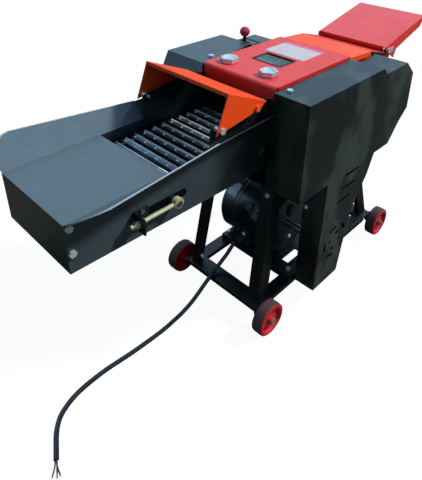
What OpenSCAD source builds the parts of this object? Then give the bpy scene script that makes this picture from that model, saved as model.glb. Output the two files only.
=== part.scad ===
// Chaff cutter with a slat-conveyor feed tray, a belt-driven knife rotor and a hinged discharge deflector.
// Millimetres. +X runs with the feed, +Y points to the gear side, +Z is up.
// The origin lies on the ground, at the middle of the machine's box.

/* [Overall] */
// Height of the feed plane, at the top of the conveyor slats
feed_z = 590; // [550:1:700]
// Clear width between the two body plates
throat_w = 230; // [200:1:280]
// Thickness of the body plates
plate_t = 4; // [3:0.5:6]
// Thickness of the folded sheet metal
sheet_t = 2; // [1.5:0.1:2.4]
// Depth of the belt guard outside the near body plate
guard_depth = 107; // [100:1:130]
// Depth of the gear cover outside the far body plate
gear_depth = 147; // [120:1:180]

/* [Feed tray and conveyor] */
// Distance between the two conveyor shafts
conveyor_len = 284; // [230:1:360]
// Distance from the front conveyor shaft to the tray's front panel
tray_nose = 239; // [200:1:290]
// Height of the tray floor above the feed plane
floor_step = 24; // [16:1:30]
// Length of the tray's flat floor plate
floor_len = 226; // [160:1:226]
// Height of the tray's front panel
front_h = 108; // [100:1:130]
// How far the wings flare outwards at the front
wing_flare = 70; // [40:1:90]
// How far the wings rise at the front
wing_rise = 46; // [25:1:60]
// Slats on the whole conveyor loop
slat_n = 28; // [24:1:36]
// Width of one slat along the loop
slat_w = 13; // [9:0.5:15]
// Height of a slat above the slat chain
slat_h = 6; // [4:0.5:8]
// Inner radius of the slat chains round their sprockets
chain_r = 28; // [24:1:32]
// Thickness of a chain
chain_t = 6; // [4:0.5:8]
// Diameter of the conveyor shafts
conveyor_shaft_d = 20; // [16:1:24]
// Diameter of the tension eye-bolts
tension_d = 9; // [8:1:14]

/* [Feed rollers] */
// Outer radius of a feed roller, over its ribs
roller_r = 38; // [34:1:42]
// Gap between the closed rollers
nip = 8; // [5:1:12]
// Ribs on a feed roller
roller_ribs = 12; // [8:1:16]
// Diameter of the roller shafts
roller_shaft_d = 25; // [20:1:28]
// Teeth on each of the two roller gears
roller_teeth = 14; // [12:1:16]
// How far the upper roller can rise
roller_float = 10; // [4:1:12]
// Wire diameter of the pressure springs
spring_wire = 3; // [2:0.2:3.6]
// Mean diameter of the pressure springs
spring_d = 21; // [16:1:23]
// Curls in one pressure spring
spring_turns = 5; // [3:1:6]
// Distance between the two pressure springs
spring_pitch = 132; // [90:1:160]
// Width across flats of the adjusting bolts
adjuster_af = 42; // [38:1:48]

/* [Cutting rotor] */
// Radius at the tips of the knives
rotor_r = 112; // [100:1:118]
// Distance from the feed rollers to the rotor shaft
rotor_gap = 169; // [165:1:185]
// How far the rotor shaft lies below the feed plane
rotor_drop = 30; // [20:1:40]
// Knives on the rotor
knife_n = 4; // [3:1:4]
// Thickness of a knife
knife_t = 6; // [4:0.5:8]
// Diameter of the rotor shaft
rotor_shaft_d = 35; // [30:1:38]
// Outer radius of the rotor pulley
rotor_pulley_r = 95; // [80:1:105]
// Module of the reduction gears
gear_m = 3; // [2.5:0.1:3.2]
// Teeth on the rotor pinion
pinion_teeth = 12; // [12:1:14]
// Teeth on the reduction gear
gear_teeth = 60; // [50:1:62]

/* [Covers and spout] */
// Length of the flat top cover
cover_len = 325; // [300:1:350]
// Length of the rear cover behind it
rear_cover_len = 119; // [100:1:130]
// Distance from the rotor shaft to the deflector's pivot
spout_reach = 335; // [320:1:380]
// Horizontal reach of the deflector from its pivot
deflector_reach = 225; // [160:1:300]
// Tilt of the deflector above level, at rest
deflector_tilt = 12.5; // [0:0.5:20]
// Length of the gear cover
gear_cover_len = 216; // [210:1:222]
// Diameter of the lever's ball knob
knob_d = 30; // [24:1:36]

/* [Motor] */
// Radius of the motor's smooth shell
motor_r = 100; // [85:1:105]
// Length of the motor between its end shields' outer faces
motor_len = 160; // [140:1:200]
// Height of the motor shaft above the base plate
motor_height = 102; // [102:1:125]
// Diameter of the motor shaft
motor_shaft_d = 24; // [19:1:28]
// Outer radius of the motor pulley
motor_pulley_r = 42; // [36:1:48]

/* [Undercarriage] */
// Radius of the wheels
wheel_r = 50; // [44:1:60]
// Width of the wheels
wheel_w = 34; // [20:1:40]
// Diameter of the stub axles
axle_d = 12; // [10:1:16]
// Distance between the front and rear axles
wheelbase = 611; // [560:1:680]
// Distance across the outer faces of a pair of wheels
track_w = 384; // [372:1:420]
// Width of the cross-members
member_w = 50; // [44:1:60]
// Height of the cross-members and rails
member_h = 14; // [12:1:20]
// Leg width of the angle-iron legs
angle_w = 40; // [30:1:45]
// Thickness of the angle iron
angle_t = 4; // [3:0.5:5]

/* [Cord] */
// Diameter of the mains cord
cord_d = 12; // [8:0.5:13]

/* [Hidden] */
$fn = 64;

// Clearances
run = 0.05;          // running and seating fits, on the radius
gap = 0.4;           // between neighbours that move past each other
eps = 1;             // overshoot of a cut past the face that it opens

// Bolt sizes
bolt_d = 8;
foot_bolt_d = 10;
small_bolt_d = 6;
pivot_d = 8;
guard_bolt_l = 12;
gear_bolt_l = 8;
hood_spacer_d = 14;

// Places along X, worked out from the rotor
front_reach = rotor_gap + 90 + conveyor_len + tray_nose;
rotor_x = (front_reach - spout_reach - deflector_reach) / 2;
roller_x = rotor_x - rotor_gap;
rear_shaft_x = roller_x - 90;
front_shaft_x = rear_shaft_x - conveyor_len;
tray_x = front_shaft_x - tray_nose;
throat_x = rear_shaft_x - 176;
cover_x = roller_x - 56;
cover_end_x = cover_x + cover_len;
rear_cover_end_x = cover_end_x + rear_cover_len;
pivot_x = rotor_x + spout_reach;
spout_x = pivot_x - 28;
spring_x = roller_x - 6;

// Places along Y
feed_y = (guard_depth - gear_depth) / 2;
near_in = feed_y - throat_w / 2;
near_out = near_in - plate_t;
far_in = feed_y + throat_w / 2;
far_out = far_in + plate_t;
guard_y = near_out - guard_depth;
gear_y = far_out + gear_depth;
drum_y0 = near_in + 13;
drum_y1 = far_in - 13;
spring_y = [for (s = [-1, 1]) feed_y + 10 + s * spring_pitch / 2];

// Places along Z
floor_z = feed_z + floor_step;
conveyor_z = feed_z - slat_h - chain_t - chain_r;
roller_z = feed_z - roller_r;
upper_z = roller_z + 2 * roller_r + nip;
rotor_z = feed_z - rotor_drop;
sill_z = rotor_z - 130;
cover_z = feed_z + 115;
cover_bend = 8;
rear_step = 5;
rear_z = cover_z - sheet_t - 13;
pivot_z = feed_z + 78;
spout_top = pivot_z - 2;
side_top = feed_z + 84;
member_z = wheel_r + member_h;

// Undercarriage
frame_y = feed_y - 14;
axle_front_x = rotor_x - 275;
axle_rear_x = axle_front_x + wheelbase;
member_front_x0 = axle_front_x - 12;
member_rear_x0 = axle_rear_x + 12 - member_w;
wheel_in = track_w / 2 - wheel_w;
lug_y = wheel_in - 13;
rail_out = lug_y;
axle_head_r = axle_d * 0.75;
rail_w = 40;
base_t = 5;
base_lip = 21;

// Motor
motor_x = rotor_x - 46;
base_z = member_z + base_lip;
motor_z = base_z + motor_height;
motor_y0 = near_in + 41;
motor_y1 = motor_y0 + motor_len;
shield_r = motor_r - 2;
motor_bore_r = motor_r - 6;
core_r = 55;
shield_t = 14;
motor_foot_t = 12;
motor_foot_y = [motor_y0 + 22, motor_y1 - 26];
bead_w = 6;
fan_cover_len = 52;
core_y = [motor_y0 + 32, motor_y1 - 32];

// Belt drive
pulley_w = 40;
pulley_y = guard_y + 20;
belt_w = 10;
belt_h = 10;
groove_d = 11;
groove_y = [10, 30];
belt_rotor_r = rotor_pulley_r - groove_d + 1;
belt_motor_r = motor_pulley_r - groove_d + 1;

// Gearing on the far side
gear_angle = 190;
gear_dist = gear_m * (pinion_teeth + gear_teeth) / 2;
stud_x = rotor_x + gear_dist * cos(gear_angle);
stud_z = rotor_z + gear_dist * sin(gear_angle);
roller_gear_m = (2 * roller_r + nip) / roller_teeth;
roller_gear_y = far_out + 7;
roller_gear_w = 14;
sprocket_y = roller_gear_y + roller_gear_w + 4;
sprocket_w = 6;
gear_w = 12;
gear_plane_y = sprocket_y + sprocket_w + 4;
stud_d = 20;
stud_sprocket_r = 18;
roller_sprocket_r = 28;
shaft_end_d = 25;
collar_y = gear_plane_y + gear_w + 25;
collar_w = 20;
collar_r = 25;
collar_groove = 9;
lever_x = rotor_x + 15;
lever_z = cover_z - 45;
lever_pin_d = 10;
lever_d = 10;
fork_t = 8;
fork_half = 33;
fork_pin_d = 7;
knob_z = cover_z + 17;

// Mains cord, from the gland over the front cross-member and along the ground
gland_x = motor_x - motor_r - 5;
gland_y = motor_y1 - 62;
gland_z = motor_z - 59;
gland_len = 22;
CORD = [[-62.6, 4, 128], [-74, 4, 127.8], [-88, 4, 120], [-102, 4, 108], [-127, 5, 91], [-154, 4, 77],
    [-184, -2, 71], [-214, -6, 60], [-240, -6, 42], [-267, -4, 23], [-299, -3, 9.5], [-333, -5, 6.5],
    [-368, -8, 6.5], [-422, -8, 6.5], [-478, -6, 6.5], [-517, -3, 6.5], [-557, 0, 6.5], [-592, 0, 6.5],
    [-626, -2, 6.5], [-655, -7, 6.5], [-681, -16, 6.5], [-700, -26, 6.5], [-715, -39, 6.5],
    [-730, -58, 6.5], [-744, -82, 6.5], [-758, -107, 6.5]];
CORE_SPREAD = [[-4, 5, -1], [0, 0, -1], [6, -3, -1]];
core_d = 3.4;
core_off = 2.4;

// Extrusions of 2D shapes: across the machine and upwards
module across(y0, y1) {
    translate([0, y1, 0]) rotate([90, 0, 0]) linear_extrude(y1 - y0) children();
}
module upwards(z0, z1) {
    translate([0, 0, z0]) linear_extrude(z1 - z0) children();
}
module rect(x0, x1, z0, z1) {
    translate([x0, z0]) square([x1 - x0, z1 - z0]);
}
module block(x0, x1, y0, y1, z0, z1) {
    translate([x0, y0, z0]) cube([x1 - x0, y1 - y0, z1 - z0]);
}
module disc(x, z, r) {
    translate([x, z]) circle(r);
}
// Round bar across the machine
module bar(x, z, r, y0, y1) {
    translate([x, y0, z]) rotate([-90, 0, 0]) cylinder(r = r, h = y1 - y0);
}
// Mirror image on the other side of a plane across the machine
module both_sides(y) {
    children();
    translate([0, 2 * y, 0]) mirror([0, 1, 0]) children();
}

// Polygon moved inwards by d, for points listed anticlockwise
function inset(p, d) = [for (i = [0:len(p) - 1])
    let (a = p[(i + len(p) - 1) % len(p)], b = p[i], c = p[(i + 1) % len(p)],
        u = (b - a) / norm(b - a), v = (c - b) / norm(c - b),
        nu = [-u[1], u[0]], nv = [-v[1], v[0]])
    b + d * (nu + nv) / (1 + nu * nv)];

// Outline of a belt or chain round two wheels
arc_steps = 24;
function arc(x, z, r, a0, a1) = [for (k = [0:arc_steps]) let (a = a0 + k * (a1 - a0) / arc_steps)
    [x + r * cos(a), z + r * sin(a)]];
function loop_points(x0, z0, r0, x1, z1, r1) =
    let (dir = atan2(z1 - z0, x1 - x0), lean = acos((r0 - r1) / norm([x1 - x0, z1 - z0])))
    concat(arc(x0, z0, r0, dir + lean, dir + 360 - lean), arc(x1, z1, r1, dir - lean, dir + lean));
module loop_band(x0, z0, r0, x1, z1, r1, t) {
    difference() {
        polygon(loop_points(x0, z0, r0 + t, x1, z1, r1 + t));
        polygon(loop_points(x0, z0, r0, x1, z1, r1));
    }
}

// Spur gear with straight flanks and generous backlash; a tooth stands at angle phase
module gear_2d(m, teeth, phase) {
    tip_r = m * teeth / 2 + 0.8 * m;
    root_r = m * teeth / 2 - 1.2 * m;
    step = 360 / teeth;
    polygon([for (i = [0:teeth - 1], q = [[root_r, -0.3], [tip_r, -0.11], [tip_r, 0.11], [root_r, 0.3]])
        let (a = phase + (i + q[1]) * step) q[0] * [cos(a), sin(a)]]);
}
// Phase that puts gear B in mesh with gear A, where B lies at angle dir from A
function mesh_phase(phase_a, teeth_a, dir, teeth_b) =
    dir + 180 - (0.5 - (dir - phase_a) * teeth_a / 360) * 360 / teeth_b;

// Hexagon bolt along local -Z with its head on the plane z = 0
module hex_bolt(d, length) {
    cylinder(r = d, h = 0.65 * d, $fn = 6);
    translate([0, 0, -length]) cylinder(d = d, h = length + 0.1);
}
module bolt_hole(d) {
    translate([0, 0, -60]) cylinder(d = d + 2 * run, h = 62);
}

// Tube along points, as one polyhedron with square ends
function tangent(p, i) = let (a = p[max(i - 1, 0)], b = p[min(i + 1, len(p) - 1)]) (b - a) / norm(b - a);
function side_dir(t) = let (c = cross(t, [0, 0, 1])) c / norm(c);
module tube(p, r, sides) {
    rings = [for (i = [0:len(p) - 1]) let (t = tangent(p, i), u = side_dir(t), v = cross(u, t))
        for (k = [0:sides - 1]) p[i] + r * (cos(360 * k / sides) * u + sin(360 * k / sides) * v)];
    last = (len(p) - 1) * sides;
    skin = [for (i = [0:len(p) - 2], k = [0:sides - 1])
        let (a = i * sides + k, b = i * sides + (k + 1) % sides)
        each [[a, b, b + sides], [a, b + sides, a + sides]]];
    caps = [for (k = [1:sides - 2]) each [[0, k + 1, k], [last, last + k, last + k + 1]]];
    polyhedron(points = rings, faces = concat(skin, caps));
}
// Smooth curve through points, with one added point in each span
function halfway(p, i) = let (a = p[max(i - 1, 0)], d = p[min(i + 2, len(p) - 1)])
    (-a + 9 * p[i] + 9 * p[i + 1] - d) / 16;
function smooth(p) = [for (i = [0:len(p) - 1]) each i < len(p) - 1 ? [p[i], halfway(p, i)] : [p[i]]];

// Cross-members and rails: pressed channels, open downwards
module channel_x(x0, x1, y0, y1) {
    difference() {
        block(x0, x1, y0, y1, wheel_r, member_z);
        block(x0 - eps, x1 + eps, y0 + angle_t, y1 - angle_t, wheel_r - eps, member_z - angle_t);
    }
}
module crossmember(x0, axle_x) {
    lug_t = 6;
    difference() {
        union() {
            difference() {
                block(x0, x0 + member_w, frame_y - lug_y, frame_y + lug_y, wheel_r, member_z);
                block(x0 + angle_t, x0 + member_w - angle_t, frame_y - lug_y - eps, frame_y + lug_y + eps,
                    wheel_r - eps, member_z - angle_t);
            }
            both_sides(frame_y) across(frame_y - lug_y, frame_y - lug_y + lug_t) {
                disc(axle_x, wheel_r, axle_d + 4);
                rect(axle_x - axle_d - 4, axle_x + axle_d + 4, wheel_r, member_z);
            }
        }
        bar(axle_x, wheel_r, axle_d / 2 + run, frame_y - lug_y - eps, frame_y - lug_y + lug_t + eps);
        bar(axle_x, wheel_r, axle_d / 2 + run, frame_y + lug_y - lug_t - eps, frame_y + lug_y + eps);
    }
}
module front_crossmember() color("#15181b") crossmember(member_front_x0, axle_front_x);
module rear_crossmember() color("#15181b") crossmember(member_rear_x0, axle_rear_x);
module side_rails() color("#15181b") difference() {
    both_sides(frame_y) channel_x(member_front_x0 + member_w, member_rear_x0, frame_y - rail_out,
        frame_y - rail_out + rail_w);
    base_bolts() bolt_hole(bolt_d);
}

// Splayed angle-iron leg, its outer corner running from foot to top. The near front leg stands further back,
// by these amounts at its foot and at its top.
near_front_shift = [24, 46];
module leg(foot, top) {
    d = top - foot;
    yaw = atan2(d[1], d[0]);
    lean = atan2(norm([d[0], d[1]]), d[2]);
    intersection() {
        translate(foot) rotate([0, 0, yaw]) rotate([0, lean, 0]) rotate([0, 0, -yaw])
            translate([0, 0, -60]) linear_extrude(norm(d) + 120) children();
        block(foot[0] - 300, foot[0] + 300, foot[1] - 300, foot[1] + 300, member_z, sill_z);
    }
}
module angle_2d(sx, sy) {
    scale([sx, sy]) {
        square([angle_w, angle_t]);
        square([angle_t, angle_w]);
    }
}
module leg_pair(foot_x, top_x, sx, near_shift = [0, 0]) {
    foot_dy = lug_y - 19;
    leg([foot_x + near_shift[0], frame_y - foot_dy, member_z], [top_x + near_shift[1], near_in + 9, sill_z])
        mirror([sx, 0]) angle_2d(1, 1);
    leg([foot_x, frame_y + foot_dy, member_z], [top_x, far_in - 19, sill_z])
        mirror([sx, 0]) mirror([0, 1]) angle_2d(1, 1);
}
module front_legs() color("#15181b") leg_pair(member_front_x0 + 6, roller_x - 56, 0, near_front_shift);
module rear_legs() color("#15181b") leg_pair(member_rear_x0 + member_w - 6, rotor_x + 242, 1);

// Wheels, moulded in one piece with a recessed web and a hub
module wheel(axle_x, side) {
    y_out = frame_y + side * track_w / 2;
    translate([axle_x, y_out, wheel_r]) rotate([90 * side, 0, 0]) rotate_extrude()
        polygon([[axle_d / 2 + run, 2], [12, 2], [14, 7], [wheel_r - 15, 7], [wheel_r - 11, 0],
            [wheel_r - 4, 0], [wheel_r - 1, 2], [wheel_r, 6], [wheel_r, wheel_w - 6],
            [wheel_r - 1, wheel_w - 2],
            [wheel_r - 4, wheel_w], [wheel_r - 11, wheel_w], [wheel_r - 15, wheel_w - 7], [14, wheel_w - 7],
            [12, wheel_w], [axle_d / 2 + run, wheel_w]]);
}
module wheel_front_near() color("#b8112d") wheel(axle_front_x, -1);
module wheel_front_far() color("#b8112d") wheel(axle_front_x, 1);
module wheel_rear_near() color("#b8112d") wheel(axle_rear_x, -1);
module wheel_rear_far() color("#b8112d") wheel(axle_rear_x, 1);
module axle_bolts() color("#8b857b") for (x = [axle_front_x, axle_rear_x]) both_sides(frame_y) {
    y_out = frame_y - track_w / 2;
    bar(x, wheel_r, axle_d / 2, y_out + gap, frame_y - lug_y + 12);
    bar(x, wheel_r, axle_head_r, y_out - 6, y_out + 2 - gap);
    bar(x, wheel_r, axle_head_r, frame_y - wheel_in + gap, frame_y - lug_y);
}

// Motor base plate, folded down at its front and rear edges, with a window on the near side
base_x0 = motor_x - 92;
base_x1 = motor_x + 128;
base_window = [-48, 22];
module base_bolts() {
    for (x = [base_x0 + 22, base_x1 - 22], y = [frame_y - rail_out + 22, frame_y + rail_out - 22])
        translate([x, y, base_z]) children();
}
module foot_bolts() {
    for (x = [motor_x - 76, motor_x + 76], y = [motor_y0 + 40, motor_y1 - 40])
        translate([x, y, base_z + motor_foot_t]) children();
}
module motor_base() color("#191c20") difference() {
    block(base_x0, base_x1, frame_y - rail_out, frame_y + rail_out - 12, member_z, base_z);
    block(base_x0 + base_t, base_x1 - base_t, frame_y - rail_out - eps, frame_y + rail_out, member_z - eps,
        base_z - base_t);
    block(motor_x + base_window[0], motor_x + base_window[1], frame_y - rail_out + rail_w, motor_y0 - 20,
        member_z, base_z + eps);
    base_bolts() bolt_hole(bolt_d);
    foot_bolts() bolt_hole(foot_bolt_d);
}
module motor_housing() color("#1d2124") difference() {
    union() {
        bar(motor_x, motor_z, motor_r, motor_y0 + shield_t, motor_y1 - shield_t);
        for (y = [motor_y0 + shield_t + bead_w, motor_y1 - shield_t - 2 * bead_w])
            bar(motor_x, motor_z, motor_r + 1.5, y, y + bead_w);
        for (s = [-1, 1]) {
            block(motor_x + s * 70 - 20, motor_x + s * 70 + 20, motor_foot_y[0], motor_foot_y[1], base_z,
                base_z + motor_foot_t);
            block(motor_x + s * 58 - 8, motor_x + s * 58 + 8, motor_foot_y[0], motor_foot_y[1],
                base_z + motor_foot_t / 2, motor_z - 60);
        }
    }
    bar(motor_x, motor_z, motor_bore_r, motor_y0, motor_y1);
    foot_bolts() bolt_hole(foot_bolt_d);
}
// End shields, and the fan cover on the far one; its rings of holes are parts of the shield's radius
grille_rings = [0.33, 0.53, 0.73];
module motor_shields() color("#23272a") {
    for (y = [motor_y0, motor_y1 - shield_t]) difference() {
        bar(motor_x, motor_z, shield_r, y, y + shield_t);
        bar(motor_x, motor_z, motor_shaft_d / 2 + run, y - eps, y + shield_t + eps);
    }
    translate([motor_x, motor_y1 - 10, motor_z]) rotate([-90, 0, 0]) difference() {
        rotate_extrude() polygon([[shield_r + run, 0], [shield_r + sheet_t, 0], [shield_r + sheet_t, 40],
            [shield_r - 8, fan_cover_len], [0, fan_cover_len], [0, fan_cover_len - sheet_t],
            [shield_r - 9, fan_cover_len - sheet_t], [shield_r + run, 39]]);
        translate([0, 0, fan_cover_len - sheet_t - eps]) for (i = [0:11], r = grille_rings)
            rotate(i * 30) translate([r * shield_r, 0]) cylinder(r = 5, h = sheet_t + 2 * eps);
    }
}
module motor_stator() color("#6d6a66") difference() {
    bar(motor_x, motor_z, motor_bore_r, core_y[0], core_y[1]);
    bar(motor_x, motor_z, core_r + gap, core_y[0] - eps, core_y[1] + eps);
}
module motor_shaft() color("#a9adb0") {
    bar(motor_x, motor_z, motor_shaft_d / 2, pulley_y - 2, motor_y1 + 32);
    bar(motor_x, motor_z, core_r, core_y[0], core_y[1]);
}
fan_r = shield_r - 16;
module motor_fan() color("#30343a") difference() {
    union() {
        bar(motor_x, motor_z, 20, motor_y1 + 6, motor_y1 + 32);
        bar(motor_x, motor_z, fan_r, motor_y1 + 6, motor_y1 + 9);
        across(motor_y1 + 6, motor_y1 + 30) translate([motor_x, motor_z]) for (i = [0:7])
            rotate(i * 45) translate([18, -1.5]) square([fan_r - 20, 3]);
    }
    bar(motor_x, motor_z, motor_shaft_d / 2 + run, motor_y1, motor_y1 + 40);
}
module terminal_box() color("#202427") difference() {
    union() {
        block(gland_x, motor_x - 67, gland_y - 30, gland_y + 30, gland_z - 14, gland_z + 46);
        translate([gland_x - gland_len, gland_y, gland_z]) rotate([0, 90, 0])
            cylinder(d1 = cord_d + 4, d2 = 22, h = gland_len + 2);
    }
    bar(motor_x, motor_z, motor_r + run, gland_y - 40, gland_y + 40);
}

// Pulleys with two V-grooves, and the belts round them
module pulley(x, z, r, bore) {
    translate([x, pulley_y, z]) rotate([-90, 0, 0]) rotate_extrude() difference() {
        translate([bore / 2 + run, 0]) square([r - bore / 2 - run, pulley_w]);
        for (y = groove_y) polygon([[r + 1, y - 8], [r - groove_d, y - belt_w / 2 - 0.6],
            [r - groove_d, y + belt_w / 2 + 0.6], [r + 1, y + 8]]);
    }
}
module rotor_pulley() color("#3b3f43") difference() {
    pulley(rotor_x, rotor_z, rotor_pulley_r, rotor_shaft_d);
    across(pulley_y - eps, pulley_y + pulley_w + eps) translate([rotor_x, rotor_z])
        for (i = [0:5]) rotate(60 * i) translate([rotor_pulley_r * 0.55, 0]) circle(rotor_pulley_r * 0.16);
}
module motor_pulley() color("#3b3f43") pulley(motor_x, motor_z, motor_pulley_r, motor_shaft_d);
module v_belts() color("#111111") for (y = groove_y)
    across(pulley_y + y - belt_w / 2, pulley_y + y + belt_w / 2)
        loop_band(motor_x, motor_z, belt_motor_r, rotor_x, rotor_z, belt_rotor_r, belt_h);

// Rotor: shaft with its pinion, three spiders and the knives bolted to their arms
spider_y = [for (s = [-1, 0, 1]) feed_y + s * (throat_w / 2 - 25)];
arm_w = 22;
knife_root = 68;
module rotor_shaft() color("#a9adb0") {
    bar(rotor_x, rotor_z, rotor_shaft_d / 2, pulley_y - 2, far_out + 26);
    bar(rotor_x, rotor_z, shaft_end_d / 2, far_out + 20, collar_y + 13);
    across(gear_plane_y, gear_plane_y + gear_w) translate([rotor_x, rotor_z])
        gear_2d(gear_m, pinion_teeth, gear_angle);
}
module rotor_spiders() color("#54585c") for (y = spider_y) across(y - 6, y + 6)
    translate([rotor_x, rotor_z]) difference() {
        union() {
            circle(40);
            for (i = [0:knife_n - 1]) rotate(i * 360 / knife_n + 20) translate([0, -arm_w / 2])
                square([rotor_r - 10, arm_w]);
        }
        circle(rotor_shaft_d / 2 + run);
    }
module knives() color("#c8ccd0") across(near_in + 3, far_in - 3) translate([rotor_x, rotor_z])
    for (i = [0:knife_n - 1]) rotate(i * 360 / knife_n + 20) translate([knife_root, arm_w / 2])
        polygon([[0, 0], [rotor_r - knife_root - 3, 0], [rotor_r - knife_root - 3, knife_t], [0, knife_t]]);
bearing_half = 48;
bearing_hub_r = 36;
bearing_len = 24;
bearing_flange_t = 10;
module rotor_bearings() color("#3d5a4a") both_sides(feed_y) difference() {
    union() {
        across(near_out - bearing_flange_t, near_out) rect(rotor_x - bearing_half, rotor_x + bearing_half,
            rotor_z - bearing_half, rotor_z + bearing_half);
        bar(rotor_x, rotor_z, bearing_hub_r, near_out - bearing_len, near_out);
    }
    bar(rotor_x, rotor_z, rotor_shaft_d / 2 + run, near_out - bearing_len - eps, near_out + eps);
}
// Fixed knife in front of the rotor, on its beam
ledger_x = rotor_x - sqrt((rotor_r + 2) * (rotor_r + 2) - rotor_drop * rotor_drop);
module ledger_knife() color("#c8ccd0") {
    block(ledger_x - 25, ledger_x, near_in, far_in, feed_z - 8, feed_z);
    block(ledger_x - 19, ledger_x - 5, near_in, far_in, feed_z - 30, feed_z - 8);
}
// Trough under the rotor, running out along the floor of the spout
trough_r = rotor_r + 9;
module rotor_trough() color("#2b2f33") across(near_in, far_in) {
    lift = 30;
    tip = [rotor_x + trough_r * sin(lift), rotor_z - trough_r * cos(lift)];
    run_out = spout_x - tip[0];
    difference() {
        disc(rotor_x, rotor_z, trough_r + 3);
        disc(rotor_x, rotor_z, trough_r);
        polygon([[rotor_x, rotor_z], [rotor_x + 400 * sin(lift), rotor_z - 400 * cos(lift)],
            [rotor_x + 400, rotor_z + 400], [rotor_x - 400, rotor_z + 400], [rotor_x - 400, rotor_z - 40]]);
    }
    polygon([tip - 4 * [cos(lift), sin(lift)], tip + [2.5 * sin(lift), -2.5 * cos(lift)],
        tip + [run_out, run_out * tan(lift) - 3], tip + [run_out, run_out * tan(lift)]]);
}

// Body plates with their inward sills
plate_x = roller_x - 66;
plate_end_x = rotor_x + 250;
plate_outline = [[plate_x, sill_z], [plate_end_x, sill_z], [spout_x, feed_z], [spout_x, spout_top],
    [rear_cover_end_x, rear_z], [cover_end_x, cover_z - sheet_t - rear_step],
    [cover_end_x, cover_z - sheet_t],
    [cover_x + cover_bend, cover_z - sheet_t], [cover_x + sheet_t, cover_z - cover_bend],
    [cover_x + sheet_t, side_top], [plate_x, side_top]];
bush_d = 40;
sill_w = 60;
module plate_2d() {
    difference() {
        polygon(plate_outline);
        disc(rotor_x, rotor_z, rotor_shaft_d / 2 + 6);
        disc(roller_x, roller_z, bush_d / 2 + run);
        disc(roller_x, upper_z, roller_shaft_d / 2 + gap);
        disc(roller_x, upper_z + roller_float, roller_shaft_d / 2 + gap);
        rect(roller_x - roller_shaft_d / 2 - gap, roller_x + roller_shaft_d / 2 + gap, upper_z,
            upper_z + roller_float);
    }
}
module side_plate_near() color("#343b40") {
    across(near_out, near_in) plate_2d();
    block(plate_x, plate_end_x, near_out, near_in + sill_w, sill_z, sill_z + plate_t);
}
module side_plate_far() color("#343b40") {
    across(far_in, far_out) plate_2d();
    block(plate_x, plate_end_x, far_in - sill_w - 10, far_out, sill_z, sill_z + plate_t);
    across(far_out, far_out + 8) disc(stud_x, stud_z, stud_d / 2 + 5);
    bar(stud_x, stud_z, stud_d / 2, far_in, gear_plane_y + gear_w + 3);
}

// Covers over the rotor
window_x = [rotor_x - 110, rotor_x - 45];
window_y = [feed_y - 41, feed_y + 52];
cover_front_h = 30;
cover_skirt_h = 16;
throat_lip_h = 20;
module top_cover() color("#e4584c") difference() {
    union() {
        across(near_out, far_out) {
            c = [cover_x + cover_bend, cover_z - cover_bend];
            polygon([[cover_end_x, cover_z - sheet_t], [cover_end_x, cover_z],
                for (a = [90:15:180]) c + cover_bend * [cos(a), sin(a)],
                [cover_x, cover_z - cover_front_h], [cover_x + sheet_t, cover_z - cover_front_h],
                for (a = [180:-15:90]) c + (cover_bend - sheet_t) * [cos(a), sin(a)]]);
        }
        block(cover_x, cover_x + sheet_t, near_in + sheet_t + gap, far_in - sheet_t - gap,
            cover_z - cover_front_h - throat_lip_h, cover_z - cover_front_h + eps);
        both_sides(feed_y)
            block(cover_x + 8, cover_end_x, near_out - sheet_t, near_out, cover_z - cover_skirt_h, cover_z);
    }
    upwards(cover_z - 40, cover_z + 10) translate([window_x[0], window_y[0]])
        square([window_x[1] - window_x[0], window_y[1] - window_y[0]]);
    for (y = spring_y) translate([spring_x, y, cover_z - 10]) cylinder(r = plug_r + run, h = 20);
}
module window_pane() color("#5f7a70", 0.7) block(window_x[0] - 8, window_x[1] + 8, window_y[0] - 8,
    window_y[1] + 8, cover_z - sheet_t - 4, cover_z - sheet_t);
module rear_cover() color("#e4582f") {
    start = [cover_end_x, cover_z - rear_step];
    end = [rear_cover_end_x, rear_z + sheet_t];
    across(near_out, far_out) polygon([start - [0, sheet_t], end - [0, sheet_t], end, start]);
    both_sides(feed_y) across(near_out - sheet_t, near_out)
        polygon([start - [0, cover_skirt_h], end - [0, cover_skirt_h], end, start]);
}

// Discharge chute and its hinged deflector
chute_end_x = pivot_x + 20;
module chute() color("#cf3f34") {
    across(near_out, far_out) polygon([[rear_cover_end_x, rear_z], [spout_x, spout_top],
        [spout_x, spout_top + sheet_t], [rear_cover_end_x, rear_z + sheet_t]]);
    both_sides(feed_y) difference() {
        across(near_in, near_in + sheet_t) polygon([[rear_cover_end_x, feed_z + 60],
            [spout_x - 6, feed_z + 25],
            [chute_end_x, feed_z + 52], [chute_end_x, pivot_z + 4], [pivot_x, pivot_z + 11],
            [pivot_x - 8, pivot_z + 10], [spout_x, pivot_z + 3], [spout_x, spout_top],
            [rear_cover_end_x, rear_z]]);
        bar(pivot_x, pivot_z, pivot_d / 2 + run, near_in - eps, near_in + sheet_t + eps);
    }
}
deflector_rise = 19;
deflector_lip = 12;
deflector_u = (deflector_reach + deflector_rise * sin(deflector_tilt)) / cos(deflector_tilt);
module deflector() color("#e2686a") translate([pivot_x, 0, pivot_z]) rotate([0, -deflector_tilt, 0]) {
    across(near_out, far_out) rect(-18, deflector_u, deflector_rise - sheet_t, deflector_rise);
    across(near_in + 2 * sheet_t, far_in - 2 * sheet_t)
        rect(-18, sheet_t - 18, -deflector_lip, deflector_rise);
    both_sides(feed_y) difference() {
        across(near_out, near_out + sheet_t) polygon([[-18, deflector_rise], [-14, -4], [0, -12], [36, -42],
            [52, -18], [deflector_u - 28, deflector_rise - 28], [deflector_u, deflector_rise - 9],
            [deflector_u, deflector_rise]]);
        bar(0, 0, pivot_d / 2 + run, near_out - eps, near_out + sheet_t + eps);
    }
}
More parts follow.
